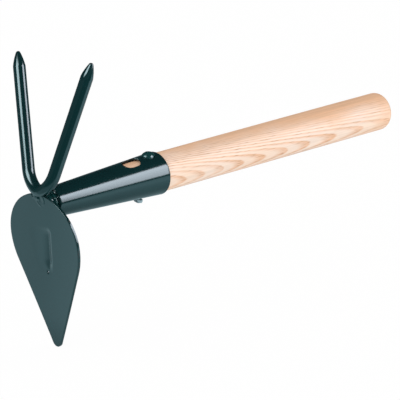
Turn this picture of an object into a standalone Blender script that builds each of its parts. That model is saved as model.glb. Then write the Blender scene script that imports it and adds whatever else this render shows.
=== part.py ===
"""A short-handled double hoe: a pointed blade below and two prongs above, on one socket and grip.

The tool lies along X. The origin is the centre of the flat on the grip's free end, and the
head is at -X. +Z points to the prongs and -Z to the blade, and X-Z is the plane of symmetry.
The head's pieces are placed from an empty at the centre of the socket's narrow end.
Lengths are in metres and angles in degrees.
"""

import math

import bmesh
import bpy
from mathutils import Vector

# Clearance between pieces that touch
GAP = 0.0003

# Grip, a tapered ash rod
GRIP_LENGTH = 0.2325
GRIP_MOUTH_RADIUS = 0.0140
GRIP_END_RADIUS = 0.0145
GRIP_SWELL = 0.0001
TENON_STEP = 0.0002
TENON_STEP_LENGTH = 0.004
TENON_CHAMFER = 0.0015
BUTT_CORNER_RADIUS = 0.0049
BUTT_SLOPE = 15.0
BUTT_FLAT_RADIUS = 0.0040

# Socket, a cone rolled from sheet
SOCKET_LENGTH = 0.0950
SOCKET_WALL = 0.0014
SOCKET_NOSE_BORE = 0.0090
SOCKET_EDGE = 0.0003

# Window cut in the socket
WINDOW_ROLL = 15.0
WINDOW_FROM_MOUTH = 0.0256
WINDOW_LENGTH = 0.0145
WINDOW_WIDTH = 0.0100

# Bolt and nut through the socket and the grip, in a hole drilled a little off square
BOLT_ROLL = 10.0
BOLT_TILT = 12.0
BOLT_FROM_MOUTH = 0.0122
BOLT_DIAMETER = 0.0030
BOLT_HEAD_DIAMETER = 0.0090
BOLT_HEAD_SKIRT = 0.0009
BOLT_DOME_ANGLE = 60.0
BOLT_TAIL = 0.0006
NUT_ACROSS_FLATS = 0.0055
NUT_HEIGHT = 0.0024

# Neck, a turned plug welded in the socket's narrow end
PLUG_LENGTH = 0.0120
PLUG_TO_TENON = 0.0020
NECK_RADIUS = 0.0072

# Prong bar, a round bar bent to a V with pointed ends, tightly at the bottom and widely beside it
BAR_DIAMETER = 0.00866
BEND_RADIUS = 0.0070
BEND_HALF_ANGLE = 26.0
SHOULDER_RADIUS = 0.0217
PRONG_LENGTH = 0.0812
PRONG_SPREAD = 18.07
PRONG_LEAN = 13.76
BEND_SETBACK = 0.0092
BEND_RISE = 0.0098
POINT_LENGTH = 0.0106
POINT_TIP_RADIUS = 0.0013
POINT_BULGE = 0.0003

# Blade, a pointed oval of sheet, slightly bowed to the rear from top to point
BLADE_WIDTH = 0.0724
BLADE_THICKNESS = 0.0020
BLADE_TOP_RISE = 0.0082
BLADE_SHOULDER_HEIGHT = 0.0333
BLADE_SIDE_RADIUS = 0.0409
BLADE_POINT_ANGLE = 26.4
BLADE_TIP_RADIUS = 0.0046
BLADE_BOW = 0.0006
BLADE_SETBACK = 0.0109
BLADE_LEAN = 3.4

# Groove pressed in the blade's front, steep at its top and -Y side and soft elsewhere, with a hole
GROOVE_FROM_TOP = 0.0225
GROOVE_LENGTH = 0.0360
GROOVE_DEPTH = 0.0013
GROOVE_STEEP_EDGE = (0.0102, 0.0060)
GROOVE_SOFT_EDGE = (0.0175, 0.0105)
GROOVE_STEEP_FLANK = 0.0048
GROOVE_FOOT_FLANK = 0.0120
HOLE_DIAMETER = 0.0018
HOLE_FROM_TOP = 0.0556

# Weld metal
BEAD_HEIGHT = 0.0018
FRONT_BEAD_WIDTH = 0.0032
REAR_BEAD_WIDTH = 0.0026
FILLET_WIDTH = 0.0150
FILLET_DEPTH = 0.0096
FILLET_THROAT = 0.0026

# How finely round shapes are divided
ROUND_SEGMENTS = 48
BAR_SEGMENTS = 18
BOLT_SEGMENTS = 24
BEND_STEPS = 16

TENON_RADIUS = GRIP_MOUTH_RADIUS - TENON_STEP
MOUTH_BORE = TENON_RADIUS + GAP
BAR_RADIUS = BAR_DIAMETER / 2
BOLT_RADIUS = BOLT_DIAMETER / 2
NOSE_X = -(GRIP_LENGTH + SOCKET_LENGTH)
BOLT_X = SOCKET_LENGTH - BOLT_FROM_MOUTH
WINDOW_X = SOCKET_LENGTH - WINDOW_FROM_MOUTH
SPREAD = math.radians(PRONG_SPREAD)
LEAN = math.radians(PRONG_LEAN)
POINT = math.radians(BLADE_POINT_ANGLE)
BLADE_TILT = math.radians(BLADE_LEAN)
BEND_HALF = math.radians(BEND_HALF_ANGLE)
BOLT_SLANT = math.radians(BOLT_TILT)


def arc(start, end, steps):
    """Angles from start to end in degrees, in equal steps, given in radians."""
    return [math.radians(start + (end - start) * i / steps) for i in range(steps + 1)]


def material(name, colour, roughness, metallic):
    """A Principled material of one colour."""
    made = bpy.data.materials.new(name)
    made.use_nodes = True
    shader = made.node_tree.nodes["Principled BSDF"]
    shader.inputs["Base Color"].default_value = (*colour, 1.0)
    shader.inputs["Roughness"].default_value = roughness
    shader.inputs["Metallic"].default_value = metallic
    made.diffuse_color = (*colour, 1.0)
    return made


def add_object(name, bm, finish, parent=None, smooth_angle=35.0):
    """Turns a closed bmesh into a named object with its faces outward."""
    bmesh.ops.recalc_face_normals(bm, faces=bm.faces)
    mesh = bpy.data.meshes.new(name)
    bm.to_mesh(mesh)
    bm.free()
    mesh.shade_smooth()
    mesh.set_sharp_from_angle(angle=math.radians(smooth_angle))
    obj = bpy.data.objects.new(name, mesh)
    bpy.context.scene.collection.objects.link(obj)
    if finish:
        mesh.materials.append(finish)
    obj.parent = parent
    return obj


def add_cutter(name, bm, parent=None):
    """A hidden solid that only shapes other pieces."""
    obj = add_object(name, bm, None, parent)
    obj.hide_render = True
    obj.display_type = "WIRE"
    return obj


def boolean(obj, other, operation="DIFFERENCE"):
    """Cuts other from obj, or joins it to obj, with a Boolean modifier."""
    modifier = obj.modifiers.new(f"{operation.lower()} {other.name}", "BOOLEAN")
    modifier.operation = operation
    modifier.solver = "EXACT"
    modifier.object = other


def loft(bm, rings, ring_of_rings=False):
    """Joins rings of points with quads. The ends are capped unless the last ring meets the first."""
    loops = [[bm.verts.new(point) for point in ring] for ring in rings]
    count = len(loops[0])
    pairs = list(zip(loops, loops[1:]))
    if ring_of_rings:
        pairs.append((loops[-1], loops[0]))
    else:
        bm.faces.new(loops[0])
        bm.faces.new(loops[-1])
    for first, second in pairs:
        for i in range(count):
            j = (i + 1) % count
            bm.faces.new((first[i], first[j], second[j], second[i]))
    return bm


def revolve(profile, segments, closed=False, axis="X"):
    """A solid turned about X or Z from (along, radius) points. A closed profile gives a ring."""
    rings = []
    for along, radius in profile:
        ring = []
        for i in range(segments):
            angle = math.tau * i / segments
            a, b = radius * math.cos(angle), radius * math.sin(angle)
            ring.append(Vector((along, a, b)) if axis == "X" else Vector((a, b, along)))
        rings.append(ring)
    return loft(bmesh.new(), rings, ring_of_rings=closed)


def socket_bore(x):
    """The socket's inner radius at a distance x from its narrow end."""
    return SOCKET_NOSE_BORE + (MOUTH_BORE - SOCKET_NOSE_BORE) * x / SOCKET_LENGTH


def socket_radius(x):
    """The socket's outer radius at a distance x from its narrow end."""
    return socket_bore(x) + SOCKET_WALL


def grip_radius(x):
    """The grip's radius outside the socket at a distance x past the mouth."""
    share = x / GRIP_LENGTH
    straight = GRIP_MOUTH_RADIUS + (GRIP_END_RADIUS - GRIP_MOUTH_RADIUS) * share
    return straight + GRIP_SWELL * 4 * share * (1 - share)


def blade_side_end():
    """(depth below the blade's top, half width) where its round side ends and its point starts."""
    depth = BLADE_SHOULDER_HEIGHT + BLADE_SIDE_RADIUS * math.sin(POINT)
    return depth, BLADE_WIDTH / 2 - BLADE_SIDE_RADIUS * (1 - math.cos(POINT))


def blade_tip_centre():
    """Depth of the centre of the round on the blade's point."""
    depth, half = blade_side_end()
    return depth + half / math.tan(POINT) - BLADE_TIP_RADIUS / math.sin(POINT)


def blade_bow(depth):
    """How far the sheet bows to the rear at a depth below its top."""
    share = min(max(depth / (blade_tip_centre() + BLADE_TIP_RADIUS), 0.0), 1.0)
    return BLADE_BOW * 4 * share * (1 - share)


def blade_front(z):
    """x of the blade's front face, measured from the socket's narrow end, at height z."""
    depth = (BLADE_TOP_RISE - z) / math.cos(BLADE_TILT)
    return -BLADE_SETBACK - z * math.tan(BLADE_TILT) + blade_bow(depth) / math.cos(BLADE_TILT)


def blade_rear(z):
    """x of the blade's rear face at height z."""
    return blade_front(z) + BLADE_THICKNESS / math.cos(BLADE_TILT)


def make_grip(finish):
    """The ash grip: a tenon in the socket, a long slight taper and a rounded end."""
    tenon_start = PLUG_LENGTH + PLUG_TO_TENON
    profile = [
        (NOSE_X + tenon_start, socket_bore(tenon_start) - GAP - TENON_CHAMFER),
        (NOSE_X + tenon_start + TENON_CHAMFER, socket_bore(tenon_start + TENON_CHAMFER) - GAP),
        (-GRIP_LENGTH, TENON_RADIUS),
        (-GRIP_LENGTH + TENON_STEP_LENGTH, grip_radius(TENON_STEP_LENGTH)),
    ]
    slope = math.radians(BUTT_SLOPE)
    crown_span = GRIP_END_RADIUS - BUTT_CORNER_RADIUS * (1 - math.sin(slope)) - BUTT_FLAT_RADIUS
    crown_radius = crown_span / math.sin(slope)
    crown_height = crown_radius * (1 - math.cos(slope))
    corner_x = -crown_height - BUTT_CORNER_RADIUS * math.cos(slope)
    body_length = GRIP_LENGTH + corner_x
    steps = 6
    for i in range(1, steps):
        x = TENON_STEP_LENGTH + (body_length - TENON_STEP_LENGTH) * i / steps
        profile.append((-GRIP_LENGTH + x, grip_radius(x)))
    for angle in arc(0, 90 - BUTT_SLOPE, 7):
        radius = GRIP_END_RADIUS - BUTT_CORNER_RADIUS * (1 - math.cos(angle))
        profile.append((corner_x + BUTT_CORNER_RADIUS * math.sin(angle), radius))
    for angle in arc(BUTT_SLOPE, 0, 3)[1:]:
        along = -crown_radius * (1 - math.cos(angle))
        profile.append((along, BUTT_FLAT_RADIUS + crown_radius * math.sin(angle)))
    return add_object("grip", revolve(profile, ROUND_SEGMENTS), finish)


def make_socket(finish, head):
    """The rolled cone with eased edges at both ends."""
    profile = [
        (0.0, socket_bore(0) + SOCKET_EDGE),
        (0.0, socket_radius(0) - SOCKET_EDGE),
        (SOCKET_EDGE, socket_radius(0)),
        (SOCKET_LENGTH - SOCKET_EDGE, socket_radius(SOCKET_LENGTH)),
        (SOCKET_LENGTH, socket_radius(SOCKET_LENGTH) - SOCKET_EDGE),
        (SOCKET_LENGTH, socket_bore(SOCKET_LENGTH)),
        (SOCKET_EDGE, socket_bore(0)),
    ]
    return add_object("socket", revolve(profile, ROUND_SEGMENTS, closed=True), finish, head)


def make_window_cutter(window_axis):
    """A straight-sided slot with round ends, on the bolt head's side of the socket."""
    half = WINDOW_WIDTH / 2
    straight = WINDOW_LENGTH / 2 - half
    outline = []
    for centre, start in ((straight, -90), (-straight, 90)):
        for angle in arc(start, start + 180, 8):
            outline.append((centre + half * math.cos(angle), half * math.sin(angle)))
    rings = []
    for height in (0.0, socket_radius(SOCKET_LENGTH) * 1.5):
        rings.append([Vector((x, y, height)) for x, y in outline])
    return add_cutter("window_cutter", loft(bmesh.new(), rings), window_axis)


def make_bolt_hole_cutter(bolt_axis):
    """The clearance hole for the bolt, right through the socket and the grip."""
    reach = socket_radius(SOCKET_LENGTH) * 1.5
    radius = BOLT_RADIUS + GAP
    profile = [(-reach, radius), (reach, radius)]
    return add_cutter("bolt_hole_cutter", revolve(profile, BOLT_SEGMENTS, axis="Z"), bolt_axis)


def make_bolt(finish, head, bolt_axis):
    """A cup-headed bolt whose head sits down on the round of the socket."""
    seat = socket_radius(BOLT_X)
    radius = BOLT_HEAD_DIAMETER / 2
    drop = seat - seat * math.cos(math.asin(min(radius / seat, 1.0)))
    profile = [(seat - 2 * drop - radius * math.sin(BOLT_SLANT), radius)]
    dome_radius = radius / math.sin(math.radians(BOLT_DOME_ANGLE))
    dome_centre = seat + BOLT_HEAD_SKIRT - dome_radius * math.cos(math.radians(BOLT_DOME_ANGLE))
    for angle in arc(BOLT_DOME_ANGLE, 6, 6):
        profile.append((dome_centre + dome_radius * math.cos(angle), dome_radius * math.sin(angle)))
    bolt = add_object("clamp_bolt", revolve(profile, BOLT_SEGMENTS, axis="Z"), finish, bolt_axis)
    cone = [(0.0, socket_radius(0) + GAP), (SOCKET_LENGTH, socket_radius(SOCKET_LENGTH) + GAP)]
    seat_cutter = add_cutter("bolt_seat_cutter", revolve(cone, 2 * ROUND_SEGMENTS), head)
    end = nut_seat() + NUT_HEIGHT + BOLT_TAIL
    chamfer = BOLT_RADIUS * 0.2
    shank = [
        (-end, BOLT_RADIUS - chamfer),
        (-end + chamfer, BOLT_RADIUS),
        (dome_centre + dome_radius / 2, BOLT_RADIUS),
    ]
    shank_core = add_cutter("bolt_shank", revolve(shank, BOLT_SEGMENTS, axis="Z"), bolt_axis)
    boolean(bolt, seat_cutter)
    boolean(bolt, shank_core, "UNION")
    return bolt


def nut_seat():
    """Distance along the bolt at which the nut's corners just clear the socket."""
    corner = NUT_ACROSS_FLATS / math.sqrt(3)
    round_socket = socket_radius(BOLT_X + corner)
    return (round_socket + corner * math.sin(BOLT_SLANT)) / math.cos(BOLT_SLANT) + GAP


def make_nut(finish, bolt_axis):
    """A hexagon nut with its corners turned off at both faces."""
    flat = NUT_ACROSS_FLATS / 2
    chamfer = NUT_HEIGHT * 0.12

    def hexagon(angle):
        """Radius of the hexagon in the direction of angle."""
        turned = (angle + math.pi / 6) % (math.pi / 3) - math.pi / 6
        return flat / math.cos(turned)

    seat = nut_seat()
    bore = BOLT_RADIUS + GAP
    levels = [
        (-seat, bore, True),
        (-seat, flat, True),
        (-seat - chamfer, None, False),
        (-seat - NUT_HEIGHT + chamfer, None, False),
        (-seat - NUT_HEIGHT, flat, True),
        (-seat - NUT_HEIGHT, bore, True),
    ]
    rings = []
    for along, radius, is_round in levels:
        ring = []
        for i in range(BOLT_SEGMENTS):
            angle = math.tau * i / BOLT_SEGMENTS
            reach = radius if is_round else hexagon(angle)
            ring.append(Vector((reach * math.cos(angle), reach * math.sin(angle), along)))
        rings.append(ring)
    return add_object("nut", loft(bmesh.new(), rings, ring_of_rings=True), finish, bolt_axis)


def make_neck(finish, head):
    """The turned neck: a plug inside the socket and a round stub up to the blade."""
    rings = []
    stations = [
        (None, NECK_RADIUS),
        (0.0, NECK_RADIUS),
        (GAP, SOCKET_NOSE_BORE - GAP),
        (PLUG_LENGTH, socket_bore(PLUG_LENGTH) - GAP),
    ]
    for along, radius in stations:
        ring = []
        for i in range(ROUND_SEGMENTS):
            angle = math.tau * i / ROUND_SEGMENTS
            y, z = radius * math.cos(angle), radius * math.sin(angle)
            x = blade_rear(z) + GAP if along is None else along
            ring.append(Vector((x, y, z)))
        rings.append(ring)
    return add_object("neck", loft(bmesh.new(), rings), finish, head)


def make_bead(name, width, follows_blade, finish, head):
    """A ring of weld metal round the neck, against the blade or against the socket."""
    inner = NECK_RADIUS + GAP
    section = [(-width / 2, inner)]
    for angle in arc(180, 0, 8)[1:-1]:
        along = width / 2 * math.cos(angle)
        section.append((along, inner + BEAD_HEIGHT * math.sin(angle)))
    section.append((width / 2, inner))
    rings = []
    for along, radius in section:
        ring = []
        for i in range(ROUND_SEGMENTS):
            angle = math.tau * i / ROUND_SEGMENTS
            y, z = radius * math.cos(angle), radius * math.sin(angle)
            centre = blade_rear(z) + GAP + width / 2 if follows_blade else -GAP - width / 2
            ring.append(Vector((centre + along, y, z)))
        rings.append(ring)
    return add_object(name, loft(bmesh.new(), rings, ring_of_rings=True), finish, head)


def point_radius(distance):
    """Radius of a prong at a distance from its tip: a small ball, then a slightly full cone."""
    if distance >= POINT_LENGTH:
        return BAR_RADIUS
    slope = math.atan((BAR_RADIUS - POINT_TIP_RADIUS) / (POINT_LENGTH - POINT_TIP_RADIUS))
    ball_end = POINT_TIP_RADIUS * (1 - math.sin(slope))
    if distance <= ball_end:
        return math.sqrt(distance * (2 * POINT_TIP_RADIUS - distance))
    start = POINT_TIP_RADIUS * math.cos(slope)
    share = (distance - ball_end) / (POINT_LENGTH - ball_end)
    return start + (BAR_RADIUS - start) * share + POINT_BULGE * 4 * share * (1 - share)


def bar_stations():
    """Centres, outward directions and radii of the bar's sections, from one tip to the other."""
    up = Vector((math.sin(LEAN), 0.0, math.cos(LEAN)))
    side = Vector((0.0, 1.0, 0.0))
    bend_bottom = Vector((-BEND_SETBACK, 0.0, BEND_RISE))
    bend = []
    for angle in arc(-90 + PRONG_SPREAD, 90 - PRONG_SPREAD, BEND_STEPS):
        outward = side * math.sin(angle) - up * math.cos(angle)
        tight = min(max(angle, -BEND_HALF), BEND_HALF)
        tight_outward = side * math.sin(tight) - up * math.cos(tight)
        centre = bend_bottom + up * BEND_RADIUS + tight_outward * BEND_RADIUS
        centre += (outward - tight_outward) * SHOULDER_RADIUS
        bend.append((centre, outward, BAR_RADIUS))
    distances = [POINT_LENGTH * share for share in (0.004, 0.03, 0.08, 0.2, 0.4, 0.6, 0.8, 1.0)]
    prongs = []
    for start, sign in ((bend[0], -1), (bend[-1], 1)):
        along = up * math.cos(SPREAD) + side * sign * math.sin(SPREAD)
        tip = start[0] + along * PRONG_LENGTH
        prongs.append([(tip - along * d, start[1], point_radius(d)) for d in distances])
    return prongs[0] + bend + prongs[1][::-1]


def make_bar(name, growth, finish, head):
    """The bar swept along its V, with its radius grown for a clearance cutter."""
    normal = Vector((math.cos(LEAN), 0.0, -math.sin(LEAN)))
    rings = []
    for centre, outward, radius in bar_stations():
        ring = []
        for i in range(BAR_SEGMENTS):
            angle = math.tau * (i + 0.5) / BAR_SEGMENTS
            reach = (radius + growth) / math.cos(math.pi / BAR_SEGMENTS if growth else 0.0)
            ring.append(centre + (outward * math.cos(angle) + normal * math.sin(angle)) * reach)
        rings.append(ring)
    bm = loft(bmesh.new(), rings)
    if growth:
        return add_cutter(name, bm, head)
    return add_object(name, bm, finish, head)


def blade_half_outline():
    """(depth below the top, half width) of the blade from its tip up to its top."""
    half = BLADE_WIDTH / 2
    side_depth, side_end = blade_side_end()
    tip_centre = blade_tip_centre()
    rows = []
    for angle in arc(-84, -BLADE_POINT_ANGLE, 4):
        depth = tip_centre - BLADE_TIP_RADIUS * math.sin(angle)
        rows.append((depth, BLADE_TIP_RADIUS * math.cos(angle)))
    straight_start, straight_half = rows[-1]
    for share in (0.3, 0.6, 1.0):
        depth = straight_start + (side_depth - straight_start) * share
        rows.append((depth, straight_half + (side_end - straight_half) * share))
    for angle in arc(-BLADE_POINT_ANGLE, 0, 5)[1:]:
        depth = BLADE_SHOULDER_HEIGHT - BLADE_SIDE_RADIUS * math.sin(angle)
        rows.append((depth, half - BLADE_SIDE_RADIUS * (1 - math.cos(angle))))
    for angle in arc(0, 87, 12)[1:]:
        depth = BLADE_SHOULDER_HEIGHT * (1 - math.sin(angle))
        rows.append((depth, half * math.cos(angle)))
    return rows


def half_width_at(depth, rows):
    """The blade's half width at a depth, between the outline's own points."""
    for (low, low_half), (high, high_half) in zip(rows, rows[1:]):
        if high <= depth <= low:
            share = (low - depth) / (low - high)
            return low_half + (high_half - low_half) * share
    return rows[-1][1]


def soft_step(value):
    """An S-shaped rise from 0 to 1 as the value goes from 0 to 1."""
    held = min(max(value, 0.0), 1.0)
    return held * held * (3 - 2 * held)


def creased_step(value):
    """A rise from 0 to 1 that starts softly and ends in a crease."""
    held = min(max(value, 0.0), 1.0)
    return (held * held + soft_step(held)) / 2


def groove_depth(depth, y):
    """How deep the groove is at a depth below the blade's top and a distance y to the side."""
    share = min(max((depth - GROOVE_FROM_TOP) / GROOVE_LENGTH, 0.0), 1.0)
    steep = GROOVE_STEEP_EDGE[0] + (GROOVE_STEEP_EDGE[1] - GROOVE_STEEP_EDGE[0]) * share
    soft = GROOVE_SOFT_EDGE[0] + (GROOVE_SOFT_EDGE[1] - GROOVE_SOFT_EDGE[0]) * share
    aside = max(GROOVE_STEEP_FLANK - (y + steep), 0.0)
    above = max(GROOVE_STEEP_FLANK - (depth - GROOVE_FROM_TOP), 0.0)
    flank = creased_step(1 - math.hypot(aside, above) / GROOVE_STEEP_FLANK)
    slope = min(max((soft - y) / (soft + steep - GROOVE_STEEP_FLANK), 0.0), 1.0)
    from_foot = soft_step((GROOVE_FROM_TOP + GROOVE_LENGTH - depth) / GROOVE_FOOT_FLANK)
    return GROOVE_DEPTH * flank * slope * slope * from_foot


def blade_rows():
    """The outline's rows with more rows added across the groove, from the tip to the top."""
    rows = blade_half_outline()
    flanks = [GROOVE_FROM_TOP + GROOVE_STEEP_FLANK * i / 4 for i in range(5)]
    floor_start = GROOVE_FROM_TOP + GROOVE_STEEP_FLANK
    floor_end = GROOVE_FROM_TOP + GROOVE_LENGTH - GROOVE_FOOT_FLANK
    flanks += [floor_start + (floor_end - floor_start) * i / 8 for i in range(1, 9)]
    flanks += [floor_end + GROOVE_FOOT_FLANK * i / 4 for i in range(1, 5)]
    added = [(depth, half_width_at(depth, rows)) for depth in flanks]
    return sorted(rows + added, reverse=True)


def blade_columns():
    """Places across the blade as shares of its half width, closer together over the groove."""
    steep = [-1.0, -0.75, -0.5, -0.36]
    steep += [-(GROOVE_STEEP_EDGE[0] - GROOVE_STEEP_FLANK * i / 4) * 2 / BLADE_WIDTH for i in range(6)]
    soft = [GROOVE_SOFT_EDGE[0] * i / 6 * 2 / BLADE_WIDTH for i in range(-1, 7)]
    return steep + soft + [0.6, 0.8, 1.0]


def make_blade(finish, head):
    """The blade as one sheet: matching front and rear grids closed round the edge."""
    columns = blade_columns()
    down = Vector((math.sin(BLADE_TILT), 0.0, -math.cos(BLADE_TILT)))
    rearward = Vector((math.cos(BLADE_TILT), 0.0, math.sin(BLADE_TILT)))
    top = Vector((blade_front(BLADE_TOP_RISE), 0.0, BLADE_TOP_RISE))
    bm = bmesh.new()
    sides = {}
    for side, offset in (("front", 0.0), ("rear", BLADE_THICKNESS)):
        sides[side] = []
        for depth, half in blade_rows():
            row = []
            for share in columns:
                y = half * share
                back = offset + blade_bow(depth) + groove_depth(depth, y)
                place = top + down * depth + rearward * back
                row.append(bm.verts.new(place + Vector((0.0, y, 0.0))))
            sides[side].append(row)
    front, rear = sides["front"], sides["rear"]
    for grid in (front, rear):
        for low, high in zip(grid, grid[1:]):
            for i in range(len(columns) - 1):
                bm.faces.new((low[i], low[i + 1], high[i + 1], high[i]))
    edge_front = front[0][:-1] + [row[-1] for row in front[:-1]] + front[-1][:0:-1]
    edge_front += [row[0] for row in front[:0:-1]]
    edge_rear = rear[0][:-1] + [row[-1] for row in rear[:-1]] + rear[-1][:0:-1]
    edge_rear += [row[0] for row in rear[:0:-1]]
    for i in range(len(edge_front)):
        j = (i + 1) % len(edge_front)
        bm.faces.new((edge_front[i], edge_front[j], edge_rear[j], edge_rear[i]))
    return add_object("blade", bm, finish, head)


def make_hole_cutter(head):
    """A small round hole near the groove's foot, through the sheet."""
    height = BLADE_TOP_RISE - HOLE_FROM_TOP * math.cos(BLADE_TILT)
    reach = BLADE_THICKNESS + 2 * GROOVE_DEPTH
    radius = HOLE_DIAMETER / 2
    cutter = add_cutter("hole_cutter", revolve([(-reach, radius), (reach, radius)], 12), head)
    cutter.location = (blade_front(height), 0.0, height)
    cutter.rotation_euler.y = -BLADE_TILT
    return cutter


def make_fillet(finish, head):
    """The lump of weld in the corner under the bend, on the blade's front face."""
    centre = Vector((0.0, 0.0, BEND_RISE - BAR_RADIUS - FILLET_DEPTH * 0.15))
    centre.x = blade_front(centre.z)
    bm = bmesh.new()
    bmesh.ops.create_uvsphere(bm, u_segments=20, v_segments=12, radius=1.0)
    bmesh.ops.scale(bm, verts=bm.verts, vec=(FILLET_THROAT, FILLET_WIDTH / 2, FILLET_DEPTH / 2))
    bmesh.ops.translate(bm, verts=bm.verts, vec=centre)
    return add_object("weld_fillet", bm, finish, head)


def make_blade_face_cutter(head):
    """The space behind the blade's bowed front face, which the fillet stays clear of."""
    reach = BLADE_WIDTH
    rings = []
    for z in [-reach, *(FILLET_DEPTH * i / 4 for i in range(-4, 5)), reach]:
        front = blade_front(z) - GAP / math.cos(BLADE_TILT)
        corners = ((front, -reach), (front + reach, -reach), (front + reach, reach), (front, reach))
        rings.append([Vector((x, y, z)) for x, y in corners])
    return add_cutter("blade_face_cutter", loft(bmesh.new(), rings), head)


def add_empty(name, x, parent=None, roll=0.0, tilt=0.0):
    """A placing point on the tool's axis, tilted along it and then rolled about it."""
    empty = bpy.data.objects.new(name, None)
    bpy.context.scene.collection.objects.link(empty)
    empty.location.x = x
    empty.rotation_mode = "YXZ"
    empty.rotation_euler = (math.radians(roll), math.radians(tilt), 0.0)
    empty.parent = parent
    return empty


def build():
    """Clears the scene and makes every piece."""
    for obj in list(bpy.data.objects):
        bpy.data.objects.remove(obj)
    paint = material("dark_green_enamel", (0.035, 0.085, 0.095), 0.30, 0.0)
    ash = material("ash_wood", (0.78, 0.56, 0.38), 0.55, 0.0)
    zinc = material("zinc_plated_steel", (0.62, 0.64, 0.66), 0.35, 1.0)

    head = add_empty("head_origin", NOSE_X)
    window_axis = add_empty("window_axis", WINDOW_X, head, roll=WINDOW_ROLL)
    bolt_axis = add_empty("bolt_axis", BOLT_X, head, roll=BOLT_ROLL, tilt=BOLT_TILT)

    grip = make_grip(ash)
    socket = make_socket(paint, head)
    bolt_hole = make_bolt_hole_cutter(bolt_axis)
    boolean(socket, make_window_cutter(window_axis))
    boolean(socket, bolt_hole)
    boolean(grip, bolt_hole)
    make_bolt(paint, head, bolt_axis)
    make_nut(zinc, bolt_axis)

    make_bar("prong_bar", 0.0, paint, head)
    bar_space = make_bar("bar_clearance", GAP, None, head)
    neck = make_neck(paint, head)
    front_bead = make_bead("weld_bead_front", FRONT_BEAD_WIDTH, True, paint, head)
    make_bead("weld_bead_rear", REAR_BEAD_WIDTH, False, paint, head)
    blade = make_blade(paint, head)
    fillet = make_fillet(paint, head)
    boolean(fillet, make_blade_face_cutter(head))
    boolean(blade, make_hole_cutter(head))
    for piece in (neck, front_bead, blade, fillet):
        boolean(piece, bar_space)


build()
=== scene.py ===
"""Looks of a short-handled double hoe: an enamelled head on an ash grip, in a plain studio.

The tool lies along X with its head at -X. +Z points to the prongs and -Z to the blade's point.
Every piece is built in the same place as the solid that it stands for. Lengths are in metres,
or in millimetres where a name ends in mm, and angles are in degrees. A setback on the head is
measured from the socket's narrow end.
"""

import logging
import math
from collections.abc import Callable, Sequence
from dataclasses import dataclass
from enum import Enum

import bmesh
import bpy
from bmesh.types import BMesh
from bpy.types import Material, Node, NodeSocket, NodeTree, Object
from mathutils import Matrix, Vector, noise


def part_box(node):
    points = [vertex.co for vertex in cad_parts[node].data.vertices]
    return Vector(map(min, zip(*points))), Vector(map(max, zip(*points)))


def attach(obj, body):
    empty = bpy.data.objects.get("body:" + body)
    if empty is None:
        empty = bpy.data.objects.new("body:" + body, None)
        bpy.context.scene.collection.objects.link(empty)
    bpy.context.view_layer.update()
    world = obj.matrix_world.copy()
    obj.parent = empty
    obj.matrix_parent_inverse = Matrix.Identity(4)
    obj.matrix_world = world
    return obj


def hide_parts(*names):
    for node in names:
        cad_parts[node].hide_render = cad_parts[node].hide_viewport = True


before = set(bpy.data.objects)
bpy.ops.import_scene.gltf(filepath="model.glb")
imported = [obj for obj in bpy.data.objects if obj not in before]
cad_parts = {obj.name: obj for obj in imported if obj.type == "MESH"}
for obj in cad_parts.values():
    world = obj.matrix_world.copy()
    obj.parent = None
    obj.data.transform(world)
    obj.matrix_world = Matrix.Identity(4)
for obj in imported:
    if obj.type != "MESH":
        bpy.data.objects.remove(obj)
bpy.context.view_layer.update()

LOG = logging.getLogger("double_hoe")
BODY = "root"
MILLIMETRE = 0.001
WEAR = "edge_wear"
NOSE_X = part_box("socket")[0].x
MOUTH_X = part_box("socket")[1].x
FLOOR_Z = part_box("blade")[0].z

SRGB_KNEE = 0.04045
SRGB_SLOPE = 12.92
SRGB_OFFSET = 0.055
SRGB_POWER = 2.4

# Most of what a noise texture gives lies between these two, and its mean is one half.
NOISE_MIDDLE = (0.3, 0.7)
NOISE_MEAN = 0.5

Ring = Sequence[Vector]
Profile = Sequence[tuple[float, float]]


class Slot(Enum):
    """The material slots."""

    ENAMEL = "dark_green_enamel"
    ASH = "ash_wood"
    ZINC = "zinc_plated_steel"


class Ends(Enum):
    """How a loft's first and last rings are closed."""

    CAPPED = "capped"
    JOINED = "joined"


class BeadPlace(Enum):
    """Which end of the neck a weld bead runs round."""

    BLADE = "front_bead"
    SOCKET = "rear_bead"


class LightUse(Enum):
    """What a softbox does: it lights the object, or it only shows in its gloss."""

    FILL = "fill"
    REFLECTION = "reflection"


def linear(colour: str) -> tuple[float, float, float, float]:
    """Turns an sRGB hex colour to linear values.

    Args:
        colour: A colour such as "#0C3E42".

    Returns:
        Red, green, blue and alpha, from 0 to 1.
    """
    channels = [int(colour[i : i + 2], 16) / 255 for i in (1, 3, 5)]
    red, green, blue = (
        c / SRGB_SLOPE if c <= SRGB_KNEE else ((c + SRGB_OFFSET) / (1 + SRGB_OFFSET)) ** SRGB_POWER
        for c in channels
    )
    return red, green, blue, 1.0


def per_metre(wavelength_mm: float) -> float:
    """The noise scale that gives a pattern of this wavelength in millimetres."""
    return 1 / (wavelength_mm * MILLIMETRE)


def add_node(tree: NodeTree, kind: str, inputs: dict | Sequence = (), **settings: object) -> Node:
    """Adds a shader node.

    Args:
        tree: The node tree.
        kind: The node's type name.
        inputs: What the inputs take, by name or number, or in a row from the first one. Each takes
            a value, the output that feeds it, or a node, which stands for its first output.
        **settings: The node's own properties.

    Returns:
        The new node.
    """
    node = tree.nodes.new(kind)
    for name, value in settings.items():
        setattr(node, name, value)
    for key, value in inputs.items() if isinstance(inputs, dict) else enumerate(inputs):
        if isinstance(value, (Node, NodeSocket)):
            feed = value.outputs[0] if isinstance(value, Node) else value
            tree.links.new(feed, node.inputs[key])
        else:
            node.inputs[key].default_value = value
    return node


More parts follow.
